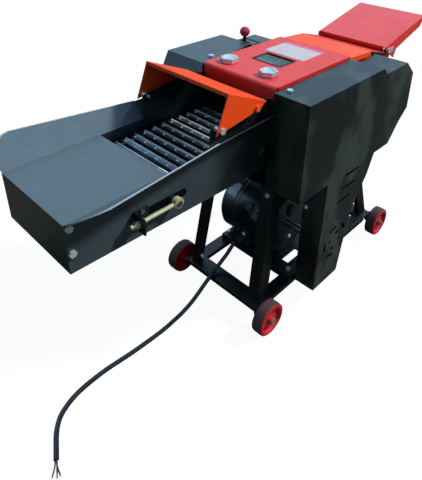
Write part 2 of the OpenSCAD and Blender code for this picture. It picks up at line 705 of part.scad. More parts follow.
module pivot_bolts() color("#b9bcc0") both_sides(feed_y) {
    bar(pivot_x, pivot_z, pivot_d / 2, near_out - 8, near_in + sheet_t + 6);
    bar(pivot_x, pivot_z, pivot_d, near_in + sheet_t, near_in + sheet_t + 5);
    bar(pivot_x, pivot_z, pivot_d, near_out - 8, near_out - gap);
    block(pivot_x - 17, pivot_x + 17, near_out - 8, near_out - 5, pivot_z - 4, pivot_z + 10);
}

// Feed hood over the throat
hood_gap = 18;
hood_half = throat_w / 2 + hood_gap;
hood_outline = [[throat_x, feed_z + 70], [throat_x + 140, feed_z + 89], [throat_x + 160, feed_z + 103],
    [throat_x + 34, feed_z + 157]];
module hood_bolts() {
    for (p = [[throat_x + 17, feed_z + 78], [throat_x + 128, feed_z + 94]]) both_sides(feed_y)
        translate([p[0], feed_y - hood_half, p[1]]) rotate([90, 0, 0]) children();
}
module feed_hood() color("#e4542d") difference() {
    union() {
        both_sides(feed_y) across(feed_y - hood_half, feed_y - hood_half + sheet_t) polygon(hood_outline);
        across(feed_y - hood_half, feed_y + hood_half) {
            a = hood_outline[2];
            b = hood_outline[3];
            polygon([a, b, b - [sheet_t, 8], b + [0, -8], b - [-1, sheet_t + 1], a - [0, sheet_t]]);
        }
    }
    hood_bolts() bolt_hole(bolt_d);
}

// Feed tray: front sheet with the floor plate, and two sides with flared wings
tray_end_x = roller_x - 40;
front_bottom = floor_z - front_h;
side_bottom = front_bottom - 15;
slot_h = conveyor_shaft_d / 2 + gap;
slot_x = [front_shaft_x - 66, front_shaft_x + 29];
module tray_bolts() {
    for (z = [floor_z - 64, floor_z - 9]) both_sides(feed_y)
        translate([tray_x + 9, near_in, z]) rotate([90, 0, 0]) children();
}
module tray_front() color("#3d464d") difference() {
    union() {
        across(near_in + sheet_t, far_in - sheet_t) polygon([[tray_x, front_bottom],
            [tray_x + 14, front_bottom],
            [tray_x + 14, front_bottom + sheet_t], [tray_x + sheet_t, front_bottom + sheet_t],
            [tray_x + sheet_t, floor_z - sheet_t], [tray_x + floor_len - sheet_t, floor_z - sheet_t],
            [tray_x + floor_len - sheet_t, floor_z - 9], [tray_x + floor_len, floor_z - 9],
            [tray_x + floor_len, floor_z], [tray_x, floor_z]]);
        both_sides(feed_y) block(tray_x, tray_x + 28, near_in + sheet_t, near_in + 2 * sheet_t, front_bottom,
            floor_z);
    }
    tray_bolts() bolt_hole(bolt_d);
}
// Wing stations: place along X and the tip's way out and up. The wing is round at the front corner,
// and goes on as a flange under the hood.
wing_corner = 53;
wing_end_x = throat_x - 2;
wing_end_flare = 32;
wing_end_rise = 36;
wing_tail_x = cover_x - 24;
wing_tail_flare = 27;
wing_tail_rise = 38;
wing_stations = concat(
    [for (a = [10:16:90]) [tray_x + wing_corner * (1 - cos(a)), sin(a) * [-wing_flare, wing_rise]]],
    [for (k = [0.25:0.25:1]) [tray_x + wing_corner + k * (wing_end_x - tray_x - wing_corner),
        (1 - k) * [-wing_flare, wing_rise] + k * [-wing_end_flare, wing_end_rise]]],
    [[wing_tail_x, [-wing_tail_flare, wing_tail_rise]]]);
module wing() {
    points = [for (s = wing_stations) let (t = s[1], n = sheet_t * [-t[1], -t[0]] / norm(t))
        each [[s[0], near_in + sheet_t, floor_z], [s[0], near_in + sheet_t + t[0], floor_z + t[1]],
            [s[0], near_in + sheet_t + t[0] + n[0], floor_z + t[1] - n[1]],
            [s[0], near_in + sheet_t + n[0], floor_z - n[1]]]];
    last = 4 * (len(wing_stations) - 1);
    skin = [for (i = [0:len(wing_stations) - 2], k = [0:3]) let (a = 4 * i + k, b = 4 * i + (k + 1) % 4)
        each [[a, b + 4, b], [a, a + 4, b + 4]]];
    polyhedron(points = points, faces = concat(skin, [[0, 1, 2], [0, 2, 3], [last, last + 2, last + 1],
        [last, last + 3, last + 2]]));
}
module tray_side() {
    difference() {
        union() {
            across(near_in, near_in + sheet_t) polygon([[tray_x, front_bottom], [tray_end_x, side_bottom],
                [tray_end_x, side_top], [cover_x - 4, side_top], [cover_x - 16, side_top + 8],
                [cover_x - 66, side_top + 19], [throat_x + 70, side_top + 8], [throat_x + 4, side_top],
                [throat_x, feed_z + 74],
                [throat_x, floor_z], [tray_x, floor_z]]);
            across(near_in, near_in + 15) polygon([[tray_x + 30, front_bottom - 0.8],
                [tray_end_x, side_bottom],
                [tray_end_x, side_bottom + sheet_t], [tray_x + 30, front_bottom + sheet_t - 0.8]]);
            wing();
        }
        across(near_in - eps, near_in + sheet_t + eps) {
            rect(slot_x[0], slot_x[1], conveyor_z - slot_h, conveyor_z + slot_h);
            for (x = slot_x) disc(x, conveyor_z, slot_h);
        }
        bar(rear_shaft_x, conveyor_z, bush_d / 2 + run, near_in - eps, near_in + sheet_t + eps);
        tray_bolts() bolt_hole(bolt_d);
        hood_bolts() bolt_hole(bolt_d);
        bracket_bolts() bolt_hole(small_bolt_d);
    }
}
module tray_side_near() color("#3d464d") tray_side();
module tray_side_far() color("#3d464d") translate([0, 2 * feed_y, 0]) mirror([0, 1, 0]) tray_side();

// Conveyor
chain_y = [drum_y0 + 9, drum_y1 - 9];
chain_w = 8;
drive_y = far_in - 10;
drive_sprocket_r = 20;
drive_teeth = 10;
drive_chain_t = 5;
module conveyor_bed() color("#30373d") block(front_shaft_x + chain_r + 4, rear_shaft_x - chain_r - 6,
    near_in + sheet_t, far_in - sheet_t, conveyor_z + chain_r - 9, conveyor_z + chain_r - 7);
module sprocket_2d(r, teeth) {
    circle(r - 4);
    for (i = [0:teeth - 1]) rotate(i * 360 / teeth) polygon([[0, -4], [r, -1], [r, 1], [0, 4]]);
}
module conveyor_shaft(x, y0, y1) {
    bar(x, conveyor_z, conveyor_shaft_d / 2, y0, y1);
    for (y = chain_y) across(y - 3, y + 3) translate([x, conveyor_z]) sprocket_2d(chain_r - gap, 8);
}
eye_y = near_in - 17;
eye_half = tension_d / 2 + 1.5;
eye_wall = 5;
stub_d = 14;
shoulder_y = eye_y + eye_half + 1;
tension_nut = 8;
rod_end = 18;
module conveyor_front_shaft() color("#9da1a5") {
    conveyor_shaft(front_shaft_x, shoulder_y, 2 * feed_y - shoulder_y);
    both_sides(feed_y) bar(front_shaft_x, conveyor_z, stub_d / 2, eye_y - eye_half - 3, shoulder_y + eps);
}
module conveyor_rear_shaft() color("#9da1a5") {
    conveyor_shaft(rear_shaft_x, near_in, far_in);
    across(drive_y, drive_y + sprocket_w) translate([rear_shaft_x, conveyor_z])
        sprocket_2d(drive_sprocket_r, drive_teeth);
}
// Slat chains, and the two drive chains of the feed
module slat_chains() color("#6f6a62") {
    for (y = chain_y) across(y - chain_w / 2, y + chain_w / 2)
        loop_band(front_shaft_x, conveyor_z, chain_r, rear_shaft_x, conveyor_z, chain_r, chain_t);
    across(drive_y, drive_y + sprocket_w)
        loop_band(rear_shaft_x, conveyor_z, drive_sprocket_r + gap, roller_x, roller_z,
            drive_sprocket_r + gap, drive_chain_t);
    across(sprocket_y, sprocket_y + sprocket_w)
        loop_band(roller_x, roller_z, roller_sprocket_r + gap, stud_x, stud_z, stud_sprocket_r + gap,
            drive_chain_t);
}
// A slat is a bar with a raised rear edge; slat i sits at its place round the loop
slat_seat_r = chain_r + chain_t;
loop_len = 2 * conveyor_len + 2 * PI * slat_seat_r;
module slat_place(s) {
    wrap = PI * slat_seat_r;
    turn = 180 / PI / slat_seat_r;
    if (s < conveyor_len)
        translate([front_shaft_x + s, 0, conveyor_z]) children();
    else if (s < conveyor_len + wrap)
        translate([rear_shaft_x, 0, conveyor_z]) rotate([0, (s - conveyor_len) * turn, 0]) children();
    else if (s < 2 * conveyor_len + wrap)
        translate([rear_shaft_x - (s - conveyor_len - wrap), 0, conveyor_z]) rotate([0, 180, 0]) children();
    else
        translate([front_shaft_x, 0, conveyor_z])
            rotate([0, 180 + (s - 2 * conveyor_len - wrap) * turn, 0]) children();
}
module conveyor_slats() color("#7d868c") for (i = [0:slat_n - 1]) slat_place((i + 0.5) * loop_len / slat_n)
    across(drum_y0, drum_y1) translate([-slat_w / 2, slat_seat_r])
        polygon([[0, 0], [slat_w, 0], [slat_w, slat_h], [slat_w - 3, slat_h], [slat_w - 4, 3], [0, 3]]);
// Tension brackets on the tray sides, with the eye-bolts that carry the front shaft
bracket_x = front_shaft_x - 99;
bracket_half = 18;
bracket_reach = 36;
bracket_t = 3;
bracket_face_t = 4;
module bracket_bolts() {
    for (z = [-12, 12]) translate([bracket_x + 20, near_in - bracket_t, conveyor_z + z])
        rotate([90, 0, 0]) children();
}
module tension_brackets() color("#2f363b") both_sides(feed_y) difference() {
    union() {
        block(bracket_x, bracket_x + bracket_face_t, near_in - bracket_reach, near_in,
            conveyor_z - bracket_half, conveyor_z + bracket_half);
        block(bracket_x, bracket_x + 36, near_in - bracket_t, near_in, conveyor_z - bracket_half,
            conveyor_z + bracket_half);
    }
    translate([bracket_x - eps, eye_y, conveyor_z]) rotate([0, 90, 0])
        cylinder(d = tension_d + 2 * run, h = bracket_face_t + 2 * eps);
    bracket_bolts() bolt_hole(small_bolt_d);
}
module tension_rods() color("#c9b87a") both_sides(feed_y) difference() {
    union() {
        bar(front_shaft_x, conveyor_z, stub_d / 2 + eye_wall, eye_y - eye_half, eye_y + eye_half);
        translate([bracket_x - rod_end, eye_y, conveyor_z]) rotate([0, 90, 0])
            cylinder(d = tension_d, h = front_shaft_x - stub_d / 2 - 1 - bracket_x + rod_end);
        for (x = [bracket_x - tension_nut, bracket_x + bracket_face_t]) translate([x, eye_y, conveyor_z])
            rotate([0, 90, 0]) cylinder(r = tension_d * 0.95, h = tension_nut, $fn = 6);
    }
    bar(front_shaft_x, conveyor_z, stub_d / 2 + run, eye_y - eye_half - eps, eye_y + eye_half + eps);
}

// Feed rollers with their gears
module ribbed_2d() {
    circle(roller_r - 5);
    for (i = [0:roller_ribs - 1]) rotate(i * 360 / roller_ribs) translate([0, -2.5]) square([roller_r, 5]);
}
module feed_roller(z, phase, y0, y1) {
    across(drum_y0, drum_y1) translate([roller_x, z]) ribbed_2d();
    bar(roller_x, z, roller_shaft_d / 2, y0, y1);
    across(roller_gear_y, roller_gear_y + roller_gear_w) translate([roller_x, z])
        gear_2d(roller_gear_m, roller_teeth, phase);
}
module lower_roller() color("#5d6266") {
    feed_roller(roller_z, 90, near_out - 10, sprocket_y + sprocket_w);
    across(sprocket_y, sprocket_y + sprocket_w) translate([roller_x, roller_z])
        sprocket_2d(roller_sprocket_r, 14);
    across(drive_y, drive_y + sprocket_w) translate([roller_x, roller_z])
        sprocket_2d(drive_sprocket_r, drive_teeth);
}
module upper_roller() color("#5d6266")
    feed_roller(upper_z, mesh_phase(90, roller_teeth, 90, roller_teeth), near_out - 6,
        roller_gear_y + roller_gear_w + 2);
module bush(x, z, shaft_d, y0, y1) {
    difference() {
        bar(x, z, bush_d / 2, y0, y1);
        bar(x, z, shaft_d / 2 + run, y0 - eps, y1 + eps);
    }
}
module roller_bushes() color("#b08d4f") {
    bush(roller_x, roller_z, roller_shaft_d, near_out - 8, near_in + 6);
    bush(roller_x, roller_z, roller_shaft_d, drive_y + sprocket_w + gap, far_out + 6);
    bush(rear_shaft_x, conveyor_z, conveyor_shaft_d, near_in - 1, near_in + 9);
    bush(rear_shaft_x, conveyor_z, conveyor_shaft_d, drive_y + sprocket_w + gap, far_in + 1);
}

// Pressure yoke that carries the upper roller, its springs and the hollow adjusting bolts
yoke_z0 = upper_z + roller_r + 2.5;
yoke_z1 = yoke_z0 + 6;
plug_r = 17;
plug_bore_r = 14;
plug_top = cover_z + 6;
module pressure_yoke() color("#3a4046") difference() {
    union() {
        block(roller_x - 20, roller_x + 20, near_in + 4, far_in - 4, yoke_z0, yoke_z1);
        both_sides(feed_y) across(near_in + 4, drum_y0 - 2) {
            disc(roller_x, upper_z, 19);
            rect(roller_x - 19, roller_x + 19, upper_z, yoke_z1);
        }
    }
    bar(roller_x, upper_z, roller_shaft_d / 2 + run, near_in, far_in);
}
// Helix whose end curls lie flat on the yoke and in the bolt
spring_z0 = yoke_z1 + spring_wire / 2 + 0.1;
spring_z1 = plug_top - spring_wire / 2 - 0.1;
spring_steps = 8;
function spring_point(k) = let (a = k * 360 / spring_steps, s = k / (spring_steps * spring_turns))
    [spring_d / 2 * cos(a), spring_d / 2 * sin(a), spring_z0 + s * (spring_z1 - spring_z0)];
spring_path = [for (k = [0:spring_steps * spring_turns]) spring_point(k)];
spring_self_gap = min([for (i = [0:len(spring_path) - 1], j = [i + spring_steps - 2:1:len(spring_path) - 1])
    norm(spring_path[i] - spring_path[j])]) - spring_wire;
echo(spring_self_gap = spring_self_gap);
module pressure_springs() color("#9ca0a4") for (y = spring_y) translate([spring_x, y, 0])
    tube(spring_path, spring_wire / 2, 6);
module adjusting_bolts() color("#cfd3d6") for (y = spring_y) translate([spring_x, y, 0]) difference() {
    union() {
        translate([0, 0, plug_top - 5]) cylinder(r = adjuster_af / 2 / cos(30), h = 12, $fn = 6);
        translate([0, 0, yoke_z1 + roller_float + 1])
            cylinder(r = plug_r, h = plug_top - yoke_z1 - roller_float);
    }
    translate([0, 0, yoke_z1]) cylinder(r = plug_bore_r, h = plug_top - yoke_z1);
    translate([0, 0, plug_top + 3]) cylinder(r1 = 11, r2 = 18, h = 5);
}

// Reduction gear with its sprocket, turning on the stud
module reduction_gear() color("#6a6e72") difference() {
    union() {
        across(gear_plane_y, gear_plane_y + gear_w) translate([stud_x, stud_z])
            gear_2d(gear_m, gear_teeth, mesh_phase(gear_angle, pinion_teeth, gear_angle, gear_teeth));
        bar(stud_x, stud_z, stud_d / 2 + 4, sprocket_y - 2, gear_plane_y + gear_w + 1);
        across(sprocket_y, sprocket_y + sprocket_w) translate([stud_x, stud_z])
            sprocket_2d(stud_sprocket_r, 9);
    }
    bar(stud_x, stud_z, stud_d / 2 + run, sprocket_y - 4, gear_plane_y + gear_w + 4);
    across(gear_plane_y - eps, gear_plane_y + gear_w + eps) translate([stud_x, stud_z])
        for (i = [0:4]) rotate(72 * i + 20) translate([gear_m * gear_teeth * 0.31, 0]) circle(18);
}
// Grooved collar that slides on the rotor shaft, and the lever whose fork moves it
module shift_collar() color("#8f8a70") translate([rotor_x, collar_y, rotor_z]) rotate([-90, 0, 0])
    rotate_extrude() difference() {
        translate([shaft_end_d / 2 + run, -collar_w / 2])
            square([collar_r - shaft_end_d / 2 - run, collar_w]);
        translate([collar_r - 7, -collar_groove / 2]) square([7 + eps, collar_groove]);
    }
module x_pin(r, x0, x1, y, z) {
    translate([x0, y, z]) rotate([0, 90, 0]) cylinder(r = r, h = x1 - x0);
}
module shift_lever() color("#2a2e31") difference() {
    union() {
        x_pin(11, lever_x - 8, lever_x + 8, collar_y, lever_z);
        translate([lever_x, collar_y, lever_z]) cylinder(d = lever_d, h = knob_z - lever_z);
        translate([0, collar_y - fork_t / 2, 0]) {
            block(lever_x - 8, lever_x + 8, 0, fork_t, rotor_z + 36, lever_z);
            block(rotor_x - fork_half - 3, rotor_x + fork_half + 3, 0, fork_t, rotor_z + 30, rotor_z + 42);
            for (x = [rotor_x - fork_half, rotor_x + fork_half])
                block(x - 3, x + 3, 0, fork_t, rotor_z - 6, rotor_z + 34);
        }
        x_pin(fork_pin_d / 2, rotor_x - fork_half, rotor_x - collar_r + 5, collar_y, rotor_z);
        x_pin(fork_pin_d / 2, rotor_x + collar_r - 5, rotor_x + fork_half, collar_y, rotor_z);
    }
    x_pin(lever_pin_d / 2 + run, lever_x - 20, lever_x + 20, collar_y, lever_z);
}
module lever_knob() color("#c11f3c") difference() {
    translate([lever_x, collar_y, knob_z]) sphere(d = knob_d);
    translate([lever_x, collar_y, knob_z - knob_d]) cylinder(d = lever_d + 2 * run, h = knob_d + run);
}

// Belt guard: one folded shell over the pulleys
guard_upper = [[rotor_x - 237, rotor_z - 126], [rotor_x + 212, rotor_z - 129], [rotor_x + 259, rotor_z - 71],
    [rotor_x + 300, rotor_z - 37], [rotor_x + 292, rotor_z + 77], [rotor_x + 239, rotor_z + 120],
    [rotor_x + 119, rotor_z + 118], [rotor_x + 100, rotor_z + 138], [rotor_x - 238, rotor_z + 138]];
guard_foot = wheel_r + 8;
vent_x = rotor_x - 28;
vent_z = rotor_z - 360;
guard_lower = [[vent_x - 83, guard_foot], [vent_x + 41, guard_foot], [vent_x + 64, vent_z + 24],
    [vent_x + 81, vent_z + 88], [rotor_x + 107, rotor_z - 190], [rotor_x + 133, rotor_z - 118],
    [vent_x - 83, rotor_z - 118]];
guard_rail_y = frame_y - rail_out;
louvre_h = 8;
vent_slot_h = 10;
module slot_2d(x0, x1, z, h) {
    disc(x0, z, h / 2);
    disc(x1, z, h / 2);
    rect(x0, x1, z - h / 2, z + h / 2);
}
module belt_guard() color("#363f45") difference() {
    union() {
        across(guard_y, near_out) polygon(guard_upper);
        across(guard_y, guard_rail_y) polygon(guard_lower);
    }
    across(guard_y + sheet_t, near_out + eps) polygon(inset(guard_upper, sheet_t));
    across(guard_y + sheet_t, guard_rail_y + eps) polygon(inset(guard_lower, sheet_t));
    block(rotor_x - 240, rotor_x + 240, near_out - 5, near_out + eps, rotor_z + 110, rotor_z + 150);
    across(guard_y - eps, guard_y + sheet_t + eps) {
        for (i = [0:2]) slot_2d(vent_x + 10 - 12 * i, vent_x + 68 - 10 * i, vent_z + 220 - 40 * i, louvre_h);
        translate([vent_x, vent_z]) {
            for (i = [0:4]) rotate(20 + 72 * i) slot_2d(-12, 12, 51, vent_slot_h);
            for (i = [0:3]) rotate(90 * i - 16) slot_2d(-4, 4, 27, vent_slot_h - 2);
        }
    }
    guard_bolt() bolt_hole(bolt_d);
}
module guard_bolt() {
    translate([rotor_x - 205, near_out - 26, rotor_z + 138]) children();
}

// Gear covers: a long front box and a lower rear one with the lever's slot
gear_cover_x0 = cover_x + sheet_t;
gear_cover_x1 = gear_cover_x0 + gear_cover_len;
gear_cover_z = cover_z - 5;
rear_box_y = collar_y + 30;
rear_box_z = cover_z - 15;
rear_box_end_x = gear_cover_x1 + 104;
gear_lean = [22, 42];
gear_cut = [55, 28];
gear_profile = [[gear_cover_x0 - gear_lean[0], sill_z], [gear_cover_x1, sill_z],
    [gear_cover_x1, gear_cover_z], [gear_cover_x0, gear_cover_z],
    [gear_cover_x0 - gear_lean[0], gear_cover_z - gear_lean[1]]];
rear_box_profile = [[gear_cover_x1 - sheet_t, rotor_z - 80], [rear_box_end_x, rotor_z - 80],
    [rear_box_end_x, rear_box_z], [gear_cover_x1 - sheet_t, rear_box_z]];
module cover_shell(profile, y1) {
    difference() {
        across(far_out, y1) polygon(profile);
        across(far_out - eps, y1 - sheet_t) polygon(inset(profile, sheet_t));
        block(cover_x - gear_lean[0], rear_box_end_x + eps, far_out - eps, far_out + 5,
            cover_z - cover_skirt_h - 4, cover_z);
    }
}
module gear_covers() color("#363f45") difference() {
    union() {
        cover_shell(gear_profile, gear_y);
        cover_shell(rear_box_profile, rear_box_y);
    }
    block(gear_cover_x1 - 3 * sheet_t, gear_cover_x1 + sheet_t, far_out - eps, rear_box_y - sheet_t,
        rotor_z - 76, rear_box_z - 4);
    block(lever_x - 9, lever_x + 9, collar_y - 16, collar_y + 16, rear_box_z - 10, rear_box_z + eps);
    upwards(gear_cover_z - sheet_t - 1, gear_cover_z + eps) polygon([[gear_cover_x0 + gear_cut[0], far_out],
        [gear_cover_x1 - 3 * sheet_t, far_out], [gear_cover_x1 - 3 * sheet_t, far_out + gear_cut[1]]]);
    gear_bolt() bolt_hole(bolt_d);
}
module gear_bolt() {
    translate([cover_x + 52, far_out + 26, gear_cover_z]) children();
}

// Visible fasteners
module fasteners() color("#b9bcc0") {
    tray_bolts() hex_bolt(bolt_d, 2 * sheet_t + 6);
    base_bolts() hex_bolt(bolt_d, base_lip + 4);
    foot_bolts() hex_bolt(foot_bolt_d, motor_foot_t + base_t + 3);
    both_sides(feed_y) bracket_bolts() hex_bolt(small_bolt_d, bracket_t + sheet_t + 3);
    guard_bolt() hex_bolt(bolt_d, guard_bolt_l);
    gear_bolt() hex_bolt(bolt_d, gear_bolt_l);
    hood_bolts() {
        hex_bolt(bolt_d, hood_gap + sheet_t + 5);
        translate([0, 0, -hood_gap]) cylinder(d = hood_spacer_d, h = hood_gap - sheet_t);
    }
    x_pin(lever_pin_d / 2, lever_x - 16, lever_x + 16, collar_y, lever_z);
    for (s = [-1, 1]) block(lever_x + s * 13 - 3, lever_x + s * 13 + 3, far_out, collar_y + 10, lever_z - 10,
        lever_z + 10);
}

// Mains cord, and the bare ends of its three cores
module mains_cord() color("#131416") tube(smooth(CORD), cord_d / 2, 8);
module cord_cores() color("#58b184") {
    tail = CORD[len(CORD) - 1];
    t = tangent(CORD, len(CORD) - 1);
    u = side_dir(t);
    for (k = [0:2]) {
        off = core_off * (cos(120 * k + 90) * [0, 0, 1] + sin(120 * k + 90) * u);
        spread = CORE_SPREAD[k];
        tube([tail + 0.2 * t + off, tail + 6 * t + off, tail + 18 * t + off + spread / 4,
            tail + 38 * t + off + spread], core_d / 2, 6);
    }
}

front_crossmember();
rear_crossmember();
side_rails();
front_legs();
rear_legs();
axle_bolts();
wheel_front_near();
wheel_front_far();
wheel_rear_near();
wheel_rear_far();
motor_base();
motor_housing();
motor_shields();
motor_stator();
motor_fan();
terminal_box();
motor_shaft();
motor_pulley();
v_belts();
rotor_shaft();
rotor_spiders();
knives();
rotor_pulley();
rotor_bearings();
ledger_knife();
rotor_trough();
side_plate_near();
side_plate_far();
top_cover();
window_pane();
rear_cover();
chute();
deflector();
pivot_bolts();
feed_hood();
tray_front();
tray_side_near();
tray_side_far();
conveyor_bed();
conveyor_front_shaft();
conveyor_rear_shaft();
slat_chains();
conveyor_slats();
tension_brackets();
tension_rods();
lower_roller();
upper_roller();
roller_bushes();
pressure_yoke();
pressure_springs();
adjusting_bolts();
reduction_gear();
shift_collar();
shift_lever();
lever_knob();
belt_guard();
gear_covers();
fasteners();
mains_cord();
cord_cores();
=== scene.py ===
import math

import bmesh
import bpy
from mathutils import Matrix, Vector


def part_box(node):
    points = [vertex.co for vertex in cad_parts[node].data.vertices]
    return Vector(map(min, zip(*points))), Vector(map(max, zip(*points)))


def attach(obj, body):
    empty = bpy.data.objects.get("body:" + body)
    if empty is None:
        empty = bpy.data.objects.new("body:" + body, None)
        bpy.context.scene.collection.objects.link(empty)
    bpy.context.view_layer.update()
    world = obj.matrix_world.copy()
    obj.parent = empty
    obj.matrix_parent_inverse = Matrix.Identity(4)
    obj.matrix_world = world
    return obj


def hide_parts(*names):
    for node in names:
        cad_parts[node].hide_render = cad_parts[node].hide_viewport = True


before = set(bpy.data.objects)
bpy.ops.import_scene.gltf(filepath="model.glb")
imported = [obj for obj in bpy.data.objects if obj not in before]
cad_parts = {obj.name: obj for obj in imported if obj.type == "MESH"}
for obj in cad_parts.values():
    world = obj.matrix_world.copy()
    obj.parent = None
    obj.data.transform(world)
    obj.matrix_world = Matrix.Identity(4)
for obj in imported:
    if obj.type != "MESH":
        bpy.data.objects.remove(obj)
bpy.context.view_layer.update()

MM = 0.001

# The photograph's frame and the camera that took it
IMAGE_W = 422
IMAGE_H = 480
FOCAL_PX = 490.4
CENTRE_PX = (222, 130)
SENSOR_MM = 36
CAMERA_POS = (-0.9615, -0.7703, 1.1469)
CAMERA_YAW = 43.33
CAMERA_PITCH = -27.88
CAMERA_ROLL = 1.39
CLIP_END = 60

# Mains cord: its route in millimetres, from the gland to its bare end
CORD = [[-62.6, 4, 128], [-74, 4, 127.8], [-88, 4, 120], [-102, 4, 108], [-127, 5, 91], [-154, 4, 77],
        [-184, -2, 71], [-214, -6, 60], [-240, -6, 42], [-267, -4, 23], [-299, -3, 9.5], [-333, -5, 6.5],
        [-368, -8, 6.5], [-422, -8, 6.5], [-478, -6, 6.5], [-517, -3, 6.5], [-557, 0, 6.5], [-592, 0, 6.5],
        [-626, -2, 6.5], [-655, -7, 6.5], [-681, -16, 6.5], [-700, -26, 6.5], [-715, -39, 6.5],
        [-730, -58, 6.5], [-744, -82, 6.5], [-758, -107, 6.5]]
CORD_D = 12 * MM

# Bare cores: how far each of their points lies past the sheath's end, and its share of the core's spread,
# which is in millimetres
CORE_D = 3.4 * MM
CORE_OFFSET = 2.4 * MM
CORE_RUN = (-4 * MM, 6 * MM, 18 * MM, 34 * MM)
CORE_SHARE = (0, 0, 0.25, 1)
CORE_SPREAD = [(-4, 5, -1), (0, 0, -1), (6, -3, -1)]
STRAND_RUN = (-2 * MM, 4 * MM)
STRAND_R = 0.3 * CORE_D

# Slats: the height of their raised lips, and the places along X where they turn lighter as painted light
SLAT_LIP = 2.5 * MM
SLATS_LIT_X = (-330 * MM, -410 * MM)

# Tray sides: the places along X between which their paint turns black as painted shade under the hood
FAR_SHADE_X = (-360 * MM, -280 * MM)
NEAR_SHADE_X = (-345 * MM, -250 * MM)

# A point in the belt guard: inner faces that look at it turn near black as painted shade
GUARD_INSIDE = (100 * MM, -190 * MM, 450 * MM)

# Bolts painted over with the sheet that they hold: places in millimetres, the paint, and its reach round them
PAINTED = [((-511, -139, 565), (58, 72, 76)), ((-196, -155, 684), (236, 96, 48))]
PAINTED_R = 20 * MM
PAINTED_EDGE = 2 * MM

# Corner radii of plates and frames
CORNER = 2 * MM
WIDE_CORNER = 4 * MM

# Rolled hems along the tray's wings, which start where the wings leave the floor plate
HEM_R = 1.8 * MM
HEM_START = 3 * MM

# Window gasket, and how far the pane laps behind the cover
PANE_LAP = 8 * MM
GASKET_OUT = 2.6 * MM
GASKET_IN = 0.8 * MM
GASKET_T = 1.2 * MM

# Bare label plate with its band
LABEL_X = (81 * MM, 186 * MM)
LABEL_Y = (-76 * MM, 55 * MM)
LABEL_T = 0.4 * MM
BAND_W = 15 * MM
BAND_T = 0.1 * MM

# Screws that the bolts' own solids leave out: places in millimetres, and the way that each one looks
SCREWS = [((-80, -113, 371), (-0.98, 0, 0.21)), ((-164, 51, 105), (-0.99, 0, 0.15)),
          ((0, -188, 332), (-1, 0, 0)), ((76, -94, 128), (0, -1, 0)), ((-40, -5, 152), (-1, 0, 0))]
DARK_SCREWS = [((-40, 22, 152), (-1, 0, 0)), ((0, -188, 300), (-1, 0, 0)), ((-40, -18, 118), (-1, 0, 0))]
SCREW_R = 5 * MM
SCREW_H = 4 * MM
WASHER_R = (0.6 * SCREW_R, 1.5 * SCREW_R)
WASHER_T = 1.2 * MM

# Rubber wipers in the slots of the tray's sides, either way of the conveyor's front shaft;
# near black as painted shade in the slots
WIPER_X = [(-80 * MM, -9 * MM), (9 * MM, 44 * MM)]
WIPER_HALF = 14 * MM
WIPER_T = 1.2 * MM

# Guide plate round the shift lever: how far it reaches from the lever
GUIDE_X = (-16 * MM, 48 * MM)
GUIDE_Y = (-38 * MM, 22 * MM)
GUIDE_RIM = 5 * MM
GUIDE_T = 1.2 * MM

# On the motor's shell, with turns in degrees from +X: a bare plate, switch blocks and a red button
PLATE_TURN = (118, 144)
PLATE_Y = (58 * MM, 94 * MM)
PLATE_T = 0.7 * MM
PLATE_STEPS = 8
SWITCHES = [(145, -3 * MM, 11 * MM), (154, -36 * MM, 10 * MM)]
SWITCH_H = 8 * MM
SWITCH_SUNK = 2 * MM
BUTTON_TURN = 147
BUTTON_Y = -20 * MM
BUTTON_R = 6 * MM
BUTTON_H = 5 * MM

# Junction block on the motor's near shield
JUNCTION_X = (62 * MM, 81 * MM)
JUNCTION_Z = (212 * MM, 250 * MM)
JUNCTION_T = 10 * MM
JUNCTION_CORNER = 3 * MM

# Rivets along the slats that lie level; slats that go round the shafts stand taller
RIVETS = 6
RIVET_R = 3.2 * MM
RIVET_H = 2 * MM
RIVET_END = 9 * MM
RIVET_X = 4.5 * MM
SLAT_BASE = 3 * MM
LEVEL_SLAT_H = 7 * MM

# Floor: white, with a faint shadow that fades out between two distances
FLOOR_R = 14
FLOOR_SIDES = 96
FLOOR_FADE = (1.1, 2.4)
FLOOR_SHADE = (0.08, 0.08, 0.08, 1)
FLOOR_GLOW = 0.945
FLOOR_DULL = (0.10, 0.105, 0.095, 1)
WHITE = (1, 1, 1, 1)

# Key light and sky: the sky's share rises with height, from the horizon up
KEY_FROM = (0.62, -0.42, 0.66)
KEY_ENERGY = 4.4
KEY_ANGLE = 7
KEY_COLOUR = (1, 0.97, 0.93)
SKY_COLOUR = (0.5, 0.76, 1, 1)
SKY_DIFFUSE = 0.42
SKY_GLOSSY = 1.3
SKY_HEIGHT = (0.02, 0.5)
SKY_SHARE = (0.05, 1.0)

# Edges that turn by more degrees stay sharp, and points this near are one
SHARP_ANGLE = 35
WELD = 0.001 * MM

# Blender's wave texture turns through so many radians in a unit of its scaled coordinate
WAVE_RATE = 20


# Node graphs

def linear(rgb):
    """An sRGB colour in bytes as a linear colour with alpha."""
    return [((c / 255 + 0.055) / 1.055) ** 2.4 for c in rgb] + [1.0]


